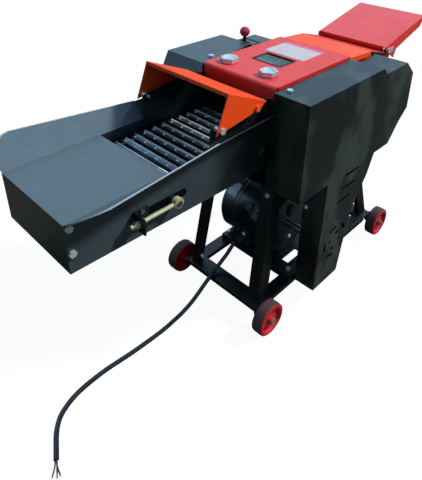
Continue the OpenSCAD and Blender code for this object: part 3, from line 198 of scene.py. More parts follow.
class Graph:
    """The node tree of a material or a world, with short calls for the nodes that they share."""

    def __init__(self, owner):
        owner.use_nodes = True
        self.owner = owner
        self.tree = owner.node_tree
        self.places = self.node("ShaderNodeTexCoord").outputs
        self.coords = self.places["Object"]

    def node(self, kind, values=(), **settings):
        made = self.tree.nodes.new(kind)
        for key, value in settings.items():
            setattr(made, key, value)
        return self.put(made, dict(values))

    def put(self, node, values):
        for key, value in values.items():
            if isinstance(value, bpy.types.NodeSocket):
                self.tree.links.new(value, node.inputs[key])
            else:
                node.inputs[key].default_value = value
        return node

    def noise(self, scale, detail=3, stretch=(1, 1, 1), rough=0.55):
        """Noise with so many waves a metre, drawn out along an axis by a stretch under 1."""
        place = self.node("ShaderNodeMapping", {"Vector": self.coords, "Scale": stretch})
        made = self.node("ShaderNodeTexNoise", {"Vector": place.outputs[0], "Scale": scale, "Detail": detail,
                                                "Roughness": rough})
        return made.outputs["Fac"]

    def ramp(self, value, low, high, out_low=0.0, out_high=1.0):
        made = self.node("ShaderNodeMapRange", {"Value": value, "From Min": low, "From Max": high,
                                                "To Min": out_low, "To Max": out_high},
                         interpolation_type="SMOOTHSTEP")
        return made.outputs[0]

    def math(self, operation, a, b=0.0):
        return self.node("ShaderNodeMath", {0: a, 1: b}, operation=operation).outputs[0]

    def mix(self, factor, a, b):
        made = self.node("ShaderNodeMix", {0: factor, 6: a, 7: b}, data_type="RGBA")
        return made.outputs[2]

    def rounded(self, radius):
        """The normal with edges rounded off by a radius."""
        return self.node("ShaderNodeBevel", {"Radius": radius}, samples=6).outputs[0]

    def edges(self, rounded):
        """1 along edges, where the rounded normal leaves the true one."""
        true = self.node("ShaderNodeNewGeometry").outputs["Normal"]
        made = self.node("ShaderNodeVectorMath", {0: rounded, 1: true}, operation="DOT_PRODUCT")
        return self.ramp(made.outputs["Value"], 0.985, 0.80)

    def upward(self, low=0.3, high=0.95):
        """1 on faces that look up."""
        normal = self.node("ShaderNodeNewGeometry").outputs["Normal"]
        parts = self.node("ShaderNodeSeparateXYZ", {0: normal})
        return self.ramp(parts.outputs[2], low, high)

    def inward(self, centre):
        """1 on faces that look towards a point."""
        normal = self.node("ShaderNodeNewGeometry").outputs["Normal"]
        away = self.node("ShaderNodeVectorMath", {0: self.coords, 1: centre}, operation="SUBTRACT").outputs[0]
        made = self.node("ShaderNodeVectorMath", {0: away, 1: normal}, operation="DOT_PRODUCT")
        return self.ramp(made.outputs["Value"], 0.0, -4 * MM)

    def along(self, axis, low, high):
        """0 to 1 between two places along an axis."""
        parts = self.node("ShaderNodeSeparateXYZ", {0: self.coords})
        return self.ramp(parts.outputs[axis], low, high)

    def bump(self, height, strength, distance, normal):
        made = self.node("ShaderNodeBump", {"Height": height, "Strength": strength, "Distance": distance,
                                            "Normal": normal})
        return made.outputs[0]

    def finish(self, **values):
        names = {"color": "Base Color", "rough": "Roughness", "normal": "Normal", "metal": "Metallic",
                 "specular": "Specular IOR Level", "coat": "Coat Weight", "coat_rough": "Coat Roughness",
                 "transmission": "Transmission Weight", "ior": "IOR"}
        self.put(self.tree.nodes["Principled BSDF"], {names[k]: v for k, v in values.items()})
        return self.owner

    def seen(self):
        """1 for rays that the camera sees, straight or through glass."""
        path = self.node("ShaderNodeLightPath").outputs
        return self.math("MAXIMUM", path["Is Camera Ray"], path["Is Transmission Ray"])

    def show(self, output, shader):
        """Ends the tree with a shader of its own."""
        self.tree.links.new(shader, self.tree.nodes[output].inputs["Surface"])
        return self.owner


# Materials: colours that the functions below share or mix in
# Near black for painted shade
SHADE_BLACK = (5, 6, 8)
GREY_DUST = (128, 138, 142)
# Green-grey for the belt guard's patches: partly grime, partly painted reflection
GRIME_AND_REFLECTION = (84, 102, 92)
SCUFF = (150, 150, 148)
# Slats: oiled tones, lips from wear and a painted highlight, front slats as painted light
SLAT_OILY = ((40, 46, 50), (22, 25, 28))
SLAT_WORN_HIGHLIGHT = ((240, 246, 250), (160, 174, 184))
SLAT_LIT = (132, 154, 174)
WHEEL_RED = ((196, 22, 48), (176, 16, 40))
WHEEL_CHALKY = (224, 88, 96)
TREAD_DIRT = (60, 57, 55)
# Window: a dark tint, a paler tone towards one corner, and smears
PANE_DARK = (24, 48, 36)
PANE_PALE = (92, 114, 118)
PANE_SMEAR = (150, 170, 172)


def paint(name, colour, shade, dust, rough=0.36, specular=0.6, coat=0.35, wear=0.3, fold=2.2 * MM, blotch=0.0,
          lit_top=None, shaded_inside=None, painted_shade_x=None):
    """Sprayed sheet metal: orange peel, faint dents, dust on top, and edges rubbed a little paler.
    Faces that look up take a lighter top colour as painted light. As painted shade, inner faces that look at
    a given point turn near black, and the paint turns black between two given places along X. Blotch mixes
    in patches that are partly grime and partly painted reflection."""
    g = Graph(bpy.data.materials.new(name))
    rounded = g.rounded(fold)
    cloudy = g.ramp(g.noise(5, 4), 0.35, 0.7)
    mottled = g.ramp(g.noise(70, 3), 0.35, 0.75)
    body = g.mix(cloudy, linear(colour), linear(shade))
    body = g.mix(g.math("MULTIPLY", mottled, 0.25), body, linear(shade))
    # Faces that look up turn lighter: painted light from above
    if lit_top:
        body = g.mix(g.upward(0.35, 0.8), body, linear(lit_top))
    # Blotches: partly grime, partly painted reflection
    grime_and_reflection = g.math("MULTIPLY", g.ramp(g.noise(9, 3, stretch=(1, 1, 0.45)), 0.46, 0.62), blotch)
    body = g.mix(grime_and_reflection, body, linear(GRIME_AND_REFLECTION))
    settled = g.math("MULTIPLY", g.upward(), g.ramp(g.noise(24, 6, rough=0.7), 0.5, 0.85))
    body = g.mix(g.math("MULTIPLY", settled, 0.3), body, linear(dust))
    scuffs = g.ramp(g.noise(180, 2, stretch=(0.15, 1, 1)), 0.69, 0.74)
    rubbed = g.math("MULTIPLY", g.edges(rounded), g.ramp(g.noise(90, 4), 0.35, 0.6))
    marks = g.math("MULTIPLY", g.math("MAXIMUM", g.math("MULTIPLY", scuffs, 0.3), rubbed), wear)
    body = g.mix(marks, body, linear(dust))
    # Inner faces that look at the given point turn near black: painted shade inside a cover
    if shaded_inside:
        body = g.mix(g.inward(shaded_inside), body, linear(SHADE_BLACK))
    # Between two places along X the paint turns black: painted shade under the hood and guard
    if painted_shade_x:
        body = g.mix(g.math("MULTIPLY", g.along(0, *painted_shade_x), 0.85), body, linear(SHADE_BLACK))
    roughness = g.math("ADD", g.math("MULTIPLY", g.noise(40, 4), 0.16), rough - 0.08)
    roughness = g.math("ADD", roughness, g.math("MULTIPLY", settled, 0.2))
    dents = g.bump(g.noise(6, 2), 0.4, 4 * MM, rounded)
    peel = g.bump(g.noise(700, 2), 0.06, 0.3 * MM, dents)
    return g.finish(color=body, rough=roughness, normal=peel, specular=specular, coat=coat, coat_rough=0.3)


def plated(name, colour, tint, stain, rough=0.28, grain=(1, 1, 1), stained=0.45, metal=1.0, thread=0.0,
           painted=()):
    """Zinc-plated or ground steel: a fine grain, a faint tint in the plating and dull stains.
    Thread is the pitch of a screw thread along X. Painted lists places, and the colour of the paint over the
    bolts there."""
    g = Graph(bpy.data.materials.new(name))
    rounded = g.rounded(0.7 * MM)
    tinted = g.mix(g.ramp(g.noise(90, 3), 0.35, 0.7), linear(colour), linear(tint))
    dull = g.math("MULTIPLY", g.ramp(g.noise(55, 6, rough=0.7), 0.48, 0.72), stained)
    body = g.mix(dull, tinted, linear(stain))
    bare = metal
    for spot, cover in painted:
        away = g.node("ShaderNodeVectorMath", {0: g.coords, 1: Vector(spot) * MM}, operation="DISTANCE")
        covered = g.ramp(away.outputs["Value"], PAINTED_R, PAINTED_R - PAINTED_EDGE)
        body = g.mix(covered, body, linear(cover))
        bare = g.math("MULTIPLY", bare, g.math("SUBTRACT", 1.0, covered))
    lines = g.noise(900, 3, stretch=grain)
    roughness = g.math("ADD", g.math("MULTIPLY", lines, 0.2), rough - 0.1)
    roughness = g.math("ADD", roughness, g.math("MULTIPLY", dull, 0.3))
    normal = g.bump(lines, 0.08, 0.1 * MM, rounded)
    if thread:
        waves = 2 * math.pi / (WAVE_RATE * thread)
        ridges = g.node("ShaderNodeTexWave", {"Vector": g.coords, "Scale": waves})
        normal = g.bump(ridges.outputs["Fac"], 0.5, 0.4 * MM, normal)
    return g.finish(color=body, rough=roughness, metal=bare, normal=normal)


def slat_steel(name, lip_z):
    """Dark oiled slats, lighter towards the front as painted light,
    and near white along their raised lips from wear and a painted highlight.
    """
    g = Graph(bpy.data.materials.new(name))
    rounded = g.rounded(0.7 * MM)
    oily_and_lit = g.mix(g.ramp(g.noise(60, 5), 0.35, 0.7), *map(linear, SLAT_OILY))
    worn_highlight = g.mix(g.ramp(g.noise(50, 5, stretch=(1, 0.3, 1)), 0.4, 0.7), *map(linear, SLAT_WORN_HIGHLIGHT))
    # Front slats turn lighter: painted light where they leave the hood's shade
    oily_and_lit = g.mix(g.math("MULTIPLY", g.along(0, *SLATS_LIT_X), 0.8), oily_and_lit, linear(SLAT_LIT))
    # Raised lips near white: wear and a painted highlight
    bright = g.along(2, lip_z - 0.6 * MM, lip_z)
    body = g.mix(bright, oily_and_lit, worn_highlight)
    lines = g.noise(700, 3, stretch=(1, 0.08, 1))
    roughness = g.math("ADD", g.math("MULTIPLY", lines, 0.25), 0.25)
    return g.finish(color=body, rough=roughness, metal=0.35, normal=g.bump(lines, 0.12, 0.2 * MM, rounded))


def cast(name, colour, shade, rust, rough=0.6, metal=0.75):
    """Cast iron or oiled machined steel: a coarse skin, oil in patches and a trace of rust."""
    g = Graph(bpy.data.materials.new(name))
    rounded = g.rounded(1.2 * MM)
    body = g.mix(g.ramp(g.noise(30, 5), 0.3, 0.7), linear(colour), linear(shade))
    rusty = g.math("MULTIPLY", g.ramp(g.noise(38, 7, rough=0.75), 0.56, 0.74), 0.6)
    body = g.mix(rusty, body, linear(rust))
    skin = g.noise(420, 5)
    roughness = g.math("ADD", g.math("MULTIPLY", g.noise(60, 4), 0.3), rough - 0.15)
    return g.finish(color=body, rough=roughness, metal=metal, normal=g.bump(skin, 0.25, 0.4 * MM, rounded))


def moulded(name, colour, shade, rough=0.35, specular=0.5, grain=0.12):
    """Moulded plastic or rubber with a fine grain and small changes of tone."""
    g = Graph(bpy.data.materials.new(name))
    rounded = g.rounded(1.0 * MM)
    body = g.mix(g.ramp(g.noise(35, 4), 0.35, 0.7), linear(colour), linear(shade))
    grained = g.noise(1300, 2)
    roughness = g.math("ADD", g.math("MULTIPLY", g.noise(120, 3), 0.16), rough - 0.08)
    return g.finish(color=body, rough=roughness, specular=specular,
                    normal=g.bump(grained, grain, 0.12 * MM, rounded))


def wheel_plastic(name, axle_x, axle_z, radius):
    """Red moulded wheel, its tread grey with trodden dirt."""
    g = Graph(bpy.data.materials.new(name))
    rounded = g.rounded(1.5 * MM)
    axle = (axle_x, 0, axle_z)
    off = g.node("ShaderNodeVectorMath", {0: g.coords, 1: axle}, operation="SUBTRACT").outputs[0]
    flat = g.node("ShaderNodeVectorMath", {0: off, 1: (1, 0, 1)}, operation="MULTIPLY").outputs[0]
    reach = g.node("ShaderNodeVectorMath", {0: flat}, operation="LENGTH").outputs["Value"]
    tread = g.ramp(reach, radius - 2.5 * MM, radius - 0.4 * MM)
    grime = g.math("MULTIPLY", tread, g.ramp(g.noise(60, 6, rough=0.7), 0.2, 0.45))
    body = g.mix(g.ramp(g.noise(25, 4), 0.35, 0.7), *map(linear, WHEEL_RED))
    body = g.mix(g.math("MULTIPLY", g.ramp(g.noise(80, 5), 0.6, 0.8), 0.35), body, linear(WHEEL_CHALKY))
    body = g.mix(g.math("MULTIPLY", grime, 0.95), body, linear(TREAD_DIRT))
    roughness = g.math("ADD", g.math("MULTIPLY", grime, 0.4), 0.3)
    return g.finish(color=body, rough=roughness, normal=g.bump(g.noise(500, 3), 0.12, 0.3 * MM, rounded))


def pane_glass(name, low, high):
    """Tinted window, paler and rougher towards the tray end and the gear side."""
    g = Graph(bpy.data.materials.new(name))
    smear = g.ramp(g.noise(45, 6, stretch=(0.5, 1, 1), rough=0.7), 0.45, 0.8)
    pale_mask = g.math("SUBTRACT", g.along(1, low.y, high.y), g.along(0, low.x, high.x))
    pale_mask = g.ramp(g.math("ADD", pale_mask, g.math("MULTIPLY", smear, 0.5)), 0.0, 0.7)
    body = g.mix(pale_mask, linear(PANE_DARK), linear(PANE_PALE))
    body = g.mix(g.math("MULTIPLY", smear, 0.3), body, linear(PANE_SMEAR))
    roughness = g.math("ADD", g.math("MULTIPLY", pale_mask, 0.3), 0.08)
    return g.finish(color=body, rough=roughness, transmission=0.3, ior=1.5)


def printed(name, colour, shade, rough=0.3):
    """Printed film, a little uneven and scuffed."""
    g = Graph(bpy.data.materials.new(name))
    body = g.mix(g.ramp(g.noise(40, 4), 0.4, 0.75), linear(colour), linear(shade))
    body = g.mix(g.math("MULTIPLY", g.ramp(g.noise(130, 5), 0.6, 0.75), 0.3), body, linear(SCUFF))
    return g.finish(color=body, rough=g.math("ADD", g.math("MULTIPLY", g.noise(90, 3), 0.2), rough - 0.1))


ANTHRACITE = paint("anthracite_paint", (50, 62, 70), (42, 53, 60), GREY_DUST)
# Tray: a base darkened as painted shade for its shaded front face, and lighter tops as painted light
TRAY_SHADED = paint("tray_shaded_paint", (18, 27, 24), (13, 22, 19), GREY_DUST, coat=0.1, specular=0.45,
                  lit_top=(74, 90, 100))
SIDE_GREY = paint("tray_side_paint", (28, 36, 44), (23, 30, 36), GREY_DUST, coat=0.1, specular=0.45,
                  lit_top=(80, 96, 108), painted_shade_x=FAR_SHADE_X)
# A lighter copy of the tray side paint, as painted light against the wing's shadow
NEAR_SIDE_LIT = paint("near_side_lit_paint", (57, 70, 76), (49, 61, 66), GREY_DUST, coat=0.1, specular=0.45,
                  lit_top=(80, 96, 108), painted_shade_x=NEAR_SHADE_X)
# Pale grey on the rolled hems: a painted highlight along the wing edges
HEM_HIGHLIGHT = paint("hem_highlight_paint", (150, 166, 176), (126, 142, 152), (176, 186, 190), specular=0.8)
GUARD_GREY = paint("guard_paint", (12, 18, 20), (8, 13, 15), (84, 96, 96), coat=0.1, specular=0.4, blotch=0.3,
                   lit_top=(30, 40, 46), shaded_inside=GUARD_INSIDE)
# Near black: on the body plates, conveyor bed and rotor trough it is painted shade inside the machine
SHADE_SHEET = paint("shaded_sheet", (14, 17, 20), (10, 12, 15), (70, 72, 70), coat=0.05, specular=0.4)
RED = paint("red_paint", (222, 44, 30), (214, 38, 26), (236, 150, 140), coat=0.2)
PINK_RED = paint("spout_paint", (240, 58, 50), (230, 50, 44), (236, 160, 156))
ORANGE = paint("orange_paint", (250, 84, 24), (244, 74, 20), (244, 156, 114), coat=0.12, specular=0.5)
BLACK = paint("black_paint", (9, 12, 14), (6, 8, 10), (76, 74, 70), specular=0.4, coat=0.1)
MOTOR_BLACK = paint("motor_paint", (18, 21, 24), (13, 15, 18), (86, 88, 88), rough=0.3)
ZINC = plated("zinc_plate", (214, 226, 226), (196, 214, 220), (150, 150, 142), stained=0.3, metal=0.5,
              painted=PAINTED)
BRIGHT_ZINC = plated("bright_zinc", (214, 226, 230), (176, 208, 222), (170, 168, 160), rough=0.2,
                     stained=0.25, metal=0.55)
YELLOW_ZINC = plated("yellow_zinc", (238, 232, 178), (222, 218, 180), (150, 138, 106), stained=0.35,
                     metal=0.5, thread=1.5 * MM)
AXLE_ZINC = plated("axle_zinc", (176, 160, 112), (150, 140, 108), (96, 84, 62), rough=0.4, metal=0.6)
BLADE = plated("blade_steel", (204, 208, 212), (190, 196, 202), (140, 132, 120), grain=(1, 0.1, 1))
STEEL = plated("bare_steel", (150, 156, 160), (132, 140, 146), (92, 84, 74), rough=0.36, grain=(1, 0.1, 1),
               stained=0.6)
SLAT = slat_steel("slat_steel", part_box("conveyor_slats")[1].z - SLAT_LIP)
IRON = cast("dark_iron", (30, 32, 34), (20, 22, 24), (60, 42, 30))
GREEN_IRON = cast("bearing_iron", (58, 84, 70), (46, 68, 58), (92, 72, 54), metal=0.3)
BELT = moulded("belt_rubber", (20, 20, 21), (30, 30, 31), rough=0.7, specular=0.3, grain=0.35)
CORD_SHEATH = moulded("cord_sheath", (16, 22, 28), (26, 32, 38), rough=0.42, specular=0.5)
CORE_GREEN = moulded("core_green", (74, 176, 122), (92, 196, 140))
CORE_BROWN = moulded("core_brown", (92, 44, 38), (110, 56, 46))
CORE_BLACK = moulded("core_black", (30, 30, 34), (44, 44, 48))
PLASTIC = moulded("black_plastic", (30, 34, 37), (40, 45, 48), rough=0.45)
GREY_PLASTIC = moulded("grey_plastic", (92, 104, 106), (76, 88, 90), rough=0.4)
KNOB = moulded("knob_plastic", (196, 34, 66), (182, 26, 56), rough=0.26, grain=0.05)
RESET_RED = moulded("reset_red", (170, 24, 34), (150, 18, 28), rough=0.3)
GLASS = pane_glass("window_glass", *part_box("window_pane"))
# Near black with little gloss, darker than the belts' rubber: painted shade in the slots
SHADED_WIPER = moulded("wiper_rubber", (7, 8, 9), (10, 11, 12), rough=0.8, specular=0.1)
GASKET = moulded("gasket_rubber", (26, 28, 29), (38, 40, 41), rough=0.6)
LABEL_WHITE = printed("label_white", (198, 192, 200), (184, 180, 190))
LABEL_BAND = printed("label_band", (226, 92, 140), (214, 76, 124))
# Near white: the plate's own pale colour, raised further as painted light for sun that does not reach it
PLATE_PALE_LIT = printed("plate_pale_lit", (236, 244, 252), (214, 228, 244))
COPPER = plated("copper", (196, 122, 84), (180, 104, 66), (110, 70, 50))

LOOKS = {
    ANTHRACITE: ["gear_covers"],
    TRAY_SHADED: ["tray_front"],
    SIDE_GREY: ["tray_side_far"],
    NEAR_SIDE_LIT: ["tray_side_near"],
    GUARD_GREY: ["belt_guard"],
    SHADE_SHEET: ["side_plate_near", "side_plate_far", "tension_brackets", "conveyor_bed", "rotor_trough"],
    RED: ["top_cover", "chute"],
    PINK_RED: ["deflector"],
    ORANGE: ["feed_hood", "rear_cover"],
    BLACK: ["front_crossmember", "rear_crossmember", "side_rails", "front_legs", "rear_legs", "motor_base",
            "shift_lever", "pressure_yoke"],
    MOTOR_BLACK: ["motor_housing", "motor_shields"],
    KNOB: ["lever_knob"],
    ZINC: ["fasteners", "pivot_bolts"],
    BRIGHT_ZINC: ["adjusting_bolts"],
    YELLOW_ZINC: ["tension_rods"],
    BLADE: ["knives", "ledger_knife"],
    STEEL: ["motor_shaft", "rotor_shaft", "conveyor_front_shaft", "conveyor_rear_shaft", "slat_chains",
            "pressure_springs", "shift_collar", "motor_stator"],
    SLAT: ["conveyor_slats"],
    # The roller bushes take the dark iron as painted shade: they sit in the belt guard's shadow
    IRON: ["motor_pulley", "rotor_pulley", "rotor_spiders", "reduction_gear", "lower_roller", "upper_roller",
           "roller_bushes"],
    AXLE_ZINC: ["axle_bolts"],
    GREEN_IRON: ["rotor_bearings"],
    BELT: ["v_belts"],
    PLASTIC: ["motor_fan", "terminal_box"],
    GLASS: ["window_pane"],
}
WHEELS = ["wheel_front_near", "wheel_front_far", "wheel_rear_near", "wheel_rear_far"]


def dress(name, material):
    """Gives a node of the frame its material."""
    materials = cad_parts[name].data.materials
    materials.clear()
    materials.append(material)


def dress_nodes():
    for material, names in LOOKS.items():
        for name in names:
            dress(name, material)
    for name in WHEELS:
        low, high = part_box(name)
        axle = (low + high) / 2
        dress(name, wheel_plastic(name + "_plastic", axle.x, axle.z, (high.z - low.z) / 2))


# Helpers for pieces

def place(obj, body, material, slot):
    obj.data.materials.append(material)
    bpy.context.scene.collection.objects.link(obj)
    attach(obj, body)
    return obj


def mesh_piece(name, bm, body, material, slot):
    """A piece from a bmesh, smooth where its faces turn gently."""
    bmesh.ops.recalc_face_normals(bm, faces=bm.faces)
    mesh = bpy.data.meshes.new(name)
    bm.to_mesh(mesh)
    bm.free()
    mesh.shade_smooth()
    mesh.set_sharp_from_angle(angle=math.radians(SHARP_ANGLE))
    return place(bpy.data.objects.new(name, mesh), body, material, slot)


def tube_piece(name, points, radius, body, material, slot, smooth=True):
    """A round tube along points in metres."""
    curve = bpy.data.curves.new(name, "CURVE")
    curve.dimensions = "3D"
    curve.bevel_depth = radius
    curve.bevel_resolution = 4
    curve.use_fill_caps = True
    curve.resolution_u = 10
    spline = curve.splines.new("BEZIER" if smooth else "POLY")
    knots = spline.bezier_points if smooth else spline.points
    knots.add(len(points) - 1)
    for knot, point in zip(knots, points):
        if smooth:
            knot.co = point
            knot.handle_left_type = knot.handle_right_type = "AUTO"
        else:
            knot.co = (*point, 1)
    return place(bpy.data.objects.new(name, curve), body, material, slot)


def revolve(bm, profile, origin, axis, steps=24):
    """Adds a turned solid: a profile of (radius, height) pairs round an axis that starts at origin."""
    axis = Vector(axis).normalized()
    side = axis.orthogonal().normalized()
    turn = Matrix.Rotation(2 * math.pi / steps, 3, axis)
    rings = []
    for _ in range(steps):
        rings.append([bm.verts.new(Vector(origin) + r * side + h * axis) for r, h in profile])
        side = turn @ side
    for i in range(steps):
        a, b = rings[i], rings[(i + 1) % steps]
        for k in range(len(profile)):
            n = (k + 1) % len(profile)
            bm.faces.new((a[k], b[k], b[n], a[n]))


def dome(bm, origin, axis, radius, height, steps=16):
    """Adds a low round head that stands on a face."""
    sunk = -0.2 * height
    core = 0.15 * radius
    angles = [math.pi / 2 * k / 5 for k in range(5)]
    arc = [(radius * math.cos(a), height * math.sin(a)) for a in angles]
    revolve(bm, [(core, sunk), (radius, sunk), *arc, (core, height)], origin, axis, steps)


def washer(bm, origin, axis, inner, outer, thick):
    """Adds a flat ring with its outer edge eased."""
    lip = 0.2 * thick
    rim = [(outer, 0), (outer, thick - lip), (outer - lip, thick)]
    revolve(bm, [(inner, 0), *rim, (inner, thick)], origin, axis)


def hex_head(bm, origin, axis, radius, height):
    """Adds a chamfered hexagon head that stands on a face."""
    revolve(bm, [(0.1 * radius, 0), (radius, 0), (radius, 0.8 * height), (0.86 * radius, height),
                 (0.1 * radius, height)], origin, axis, 6)


def set_on(bm, origin, u, v):
    """Moves what was made flat on XY to a place, with X along u and Y along v."""
    u, v = Vector(u).normalized(), Vector(v).normalized()
    turn = Matrix((u, v, u.cross(v))).transposed().to_4x4()
    bmesh.ops.transform(bm, matrix=Matrix.Translation(origin) @ turn, verts=bm.verts)


def join(bm, other):
    """Adds one bmesh to another, and frees it."""
    mesh = bpy.data.meshes.new("joined")
    other.to_mesh(mesh)
    other.free()
    bm.from_mesh(mesh)
    bpy.data.meshes.remove(mesh)


def around(axis, radius, y, turn):
    """The point on a cylinder along Y at a turn from +X in degrees, and the way out of it there."""
    out = Vector((math.cos(math.radians(turn)), 0, math.sin(math.radians(turn))))
    return Vector((axis.x, y, axis.z)) + radius * out, out


def middle(node):
    """The middle of a node's box."""
    low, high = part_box(node)
    return (low + high) / 2


def grown(box, by):
    """A box of (x0, x1, y0, y1) with each side moved out."""
    return box[0] - by, box[1] + by, box[2] - by, box[3] + by


def rounded_rect(x0, x1, y0, y1, radius, steps=6):
    """Corner-rounded outline, anticlockwise."""
    corners = [(x1 - radius, y1 - radius, 0), (x0 + radius, y1 - radius, 90), (x0 + radius, y0 + radius, 180),
               (x1 - radius, y0 + radius, 270)]
    return [(cx + radius * math.cos(math.radians(start + 90 * k / steps)),
             cy + radius * math.sin(math.radians(start + 90 * k / steps)))
            for cx, cy, start in corners for k in range(steps + 1)]


def slab(bm, outline, z0, z1, hole=None):
    """Adds a flat plate, or a frame where a hole of as many points is given."""
    low = [bm.verts.new((x, y, z0)) for x, y in outline]
    high = [bm.verts.new((x, y, z1)) for x, y in outline]
    count = len(outline)
    for i in range(count):
        n = (i + 1) % count
        bm.faces.new((low[i], low[n], high[n], high[i]))
    if hole is None:
        bm.faces.new(high)
        bm.faces.new(low[::-1])
        return
    inner_low = [bm.verts.new((x, y, z0)) for x, y in hole]
    inner_high = [bm.verts.new((x, y, z1)) for x, y in hole]
    for i in range(count):
        n = (i + 1) % count
        bm.faces.new((inner_low[n], inner_low[i], inner_high[i], inner_high[n]))
        bm.faces.new((high[i], high[n], inner_high[n], inner_high[i]))
        bm.faces.new((low[n], low[i], inner_low[i], inner_low[n]))


def islands(node):
    """Boxes of a node's separate solids."""
    bm = bmesh.new()
    bm.from_mesh(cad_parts[node].data)
    bmesh.ops.remove_doubles(bm, verts=bm.verts, dist=WELD)
    seen, boxes = set(), []
    for start in bm.verts:
        if start in seen:
            continue
        stack, group = [start], []
        seen.add(start)
        while stack:
            vert = stack.pop()
            group.append(vert.co)
            for edge in vert.link_edges:
                other = edge.other_vert(vert)
                if other not in seen:
                    seen.add(other)
                    stack.append(other)
        boxes.append((Vector([min(c[i] for c in group) for i in range(3)]),
                      Vector([max(c[i] for c in group) for i in range(3)])))
    bm.free()
    return boxes


# Pieces

def make_cord():
    """The mains cord and its bare cores."""
    route = [Vector(p) * MM for p in CORD]
    cord = tube_piece("cord", route, CORD_D / 2, "chassis", CORD_SHEATH, "cord_rubber")
    up = Vector((0, 0, 1))
    forward = (route[-1] - route[-2]).normalized()
    sideways = forward.cross(up).normalized()
    cores = []
    for k, (spread, material) in enumerate(zip(CORE_SPREAD, (CORE_BROWN, CORE_GREEN, CORE_BLACK))):
        turn = math.radians(120 * k + 90)
        start = route[-1] + CORE_OFFSET * (math.cos(turn) * up + math.sin(turn) * sideways)
        bend = Vector(spread) * MM
        points = [start + run * forward + share * bend for run, share in zip(CORE_RUN, CORE_SHARE)]
        core = tube_piece(f"core_{k + 1}", points, CORE_D / 2, "chassis", material, "core_plastic")
        tip = [points[-1] + run * forward for run in STRAND_RUN]
        strand = tube_piece(f"core_strand_{k + 1}", tip, STRAND_R, "chassis", COPPER, "core_plastic", False)
        cores += [core, strand]
    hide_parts("mains_cord")
    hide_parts("cord_cores")


def make_hems():
    """Rolled hems along the upper edges of the tray's wings."""
    floor_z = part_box("tray_front")[1].z
    hood_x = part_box("feed_hood")[0].x
    for side in ("near", "far"):
        tips = {}
        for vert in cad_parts["tray_side_" + side].data.vertices:
            if vert.co.x < hood_x and vert.co.z > floor_z + HEM_START:
                key = round(vert.co.x, 3)
                if key not in tips or vert.co.z > tips[key].z:
                    tips[key] = vert.co.copy()
        edge = [tips[key] for key in sorted(tips)]
        tube_piece("wing_hem_" + side, edge, HEM_R, "chassis", HEM_HIGHLIGHT, "anthracite_paint", False)


def make_gasket(cover_top):
    """Gasket round the window's opening in the top cover."""
    low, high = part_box("window_pane")
    opening = grown((low.x, high.x, low.y, high.y), -PANE_LAP)
    gasket = bmesh.new()
    slab(gasket, rounded_rect(*grown(opening, GASKET_OUT), WIDE_CORNER), cover_top, cover_top + GASKET_T,
         rounded_rect(*grown(opening, -GASKET_IN), CORNER))
    mesh_piece("window_gasket", gasket, "chassis", GASKET, "black_plastic")


def make_label(cover_top):
    """Bare label plate beside the window, with a plain band."""
    label_top = cover_top + LABEL_T
    label = bmesh.new()
    slab(label, rounded_rect(*LABEL_X, *LABEL_Y, CORNER), cover_top, label_top)
    mesh_piece("label_plate", label, "chassis", LABEL_WHITE, "black_plastic")
    band = bmesh.new()
    slab(band, rounded_rect(LABEL_X[1] - BAND_W, LABEL_X[1], *LABEL_Y, CORNER), label_top, label_top + BAND_T)
    mesh_piece("label_band", band, "chassis", LABEL_BAND, "black_plastic")


def make_screws(name, spots, material, slot):
    """Screw heads on their washers."""
    screws = bmesh.new()
    for spot, axis in spots:
        hex_head(screws, Vector(spot) * MM, axis, SCREW_R, SCREW_H)
        washer(screws, Vector(spot) * MM, axis, *WASHER_R, WASHER_T)
    mesh_piece(name, screws, "chassis", material, slot)


def make_wipers():
    """Rubber wipers that close the slots from inside."""
    shaft = middle("conveyor_front_shaft")
    tray_low, tray_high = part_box("tray_front")
    wipers = bmesh.new()
    for high_y in (tray_low.y + WIPER_T, tray_high.y):
        for x0, x1 in WIPER_X:
            strip = bmesh.new()
            slab(strip, rounded_rect(x0, x1, -WIPER_HALF, WIPER_HALF, CORNER), 0, WIPER_T)
            set_on(strip, (shaft.x, high_y, shaft.z), (1, 0, 0), (0, 0, 1))
            join(wipers, strip)
    mesh_piece("slot_wipers", wipers, "chassis", SHADED_WIPER, "belt_rubber")


def make_lever_guide():
    """Guide plate round the shift lever, on top of the rear gear cover."""
    lever = middle("shift_lever")
    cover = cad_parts["gear_covers"].data.vertices
    seat = max(vert.co.z for vert in cover if vert.co.x > lever.x)
    outer = (lever.x + GUIDE_X[0], lever.x + GUIDE_X[1], lever.y + GUIDE_Y[0], lever.y + GUIDE_Y[1])
    guide = bmesh.new()
    slab(guide, rounded_rect(*outer, WIDE_CORNER), seat, seat + GUIDE_T,
         rounded_rect(*grown(outer, -GUIDE_RIM), CORNER))
    mesh_piece("lever_guide", guide, "chassis", PLASTIC, "black_plastic")


def make_motor_plate(axis, radius):
    """Bare plate, curved to the motor's shell."""
    section = [(radius, PLATE_Y[0]), (radius + PLATE_T, PLATE_Y[0]), (radius + PLATE_T, PLATE_Y[1]),
               (radius, PLATE_Y[1])]
    plate = bmesh.new()
    rows = []
    for k in range(PLATE_STEPS + 1):
        turn = PLATE_TURN[0] + (PLATE_TURN[1] - PLATE_TURN[0]) * k / PLATE_STEPS
        rows.append([plate.verts.new(around(axis, r, y, turn)[0]) for r, y in section])
    for a, b in zip(rows, rows[1:]):
        for k in range(len(section)):
            n = (k + 1) % len(section)
            plate.faces.new((a[k], b[k], b[n], a[n]))
    plate.faces.new(rows[0])
    plate.faces.new(rows[-1][::-1])
    mesh_piece("motor_plate", plate, "chassis", PLATE_PALE_LIT, "black_plastic")


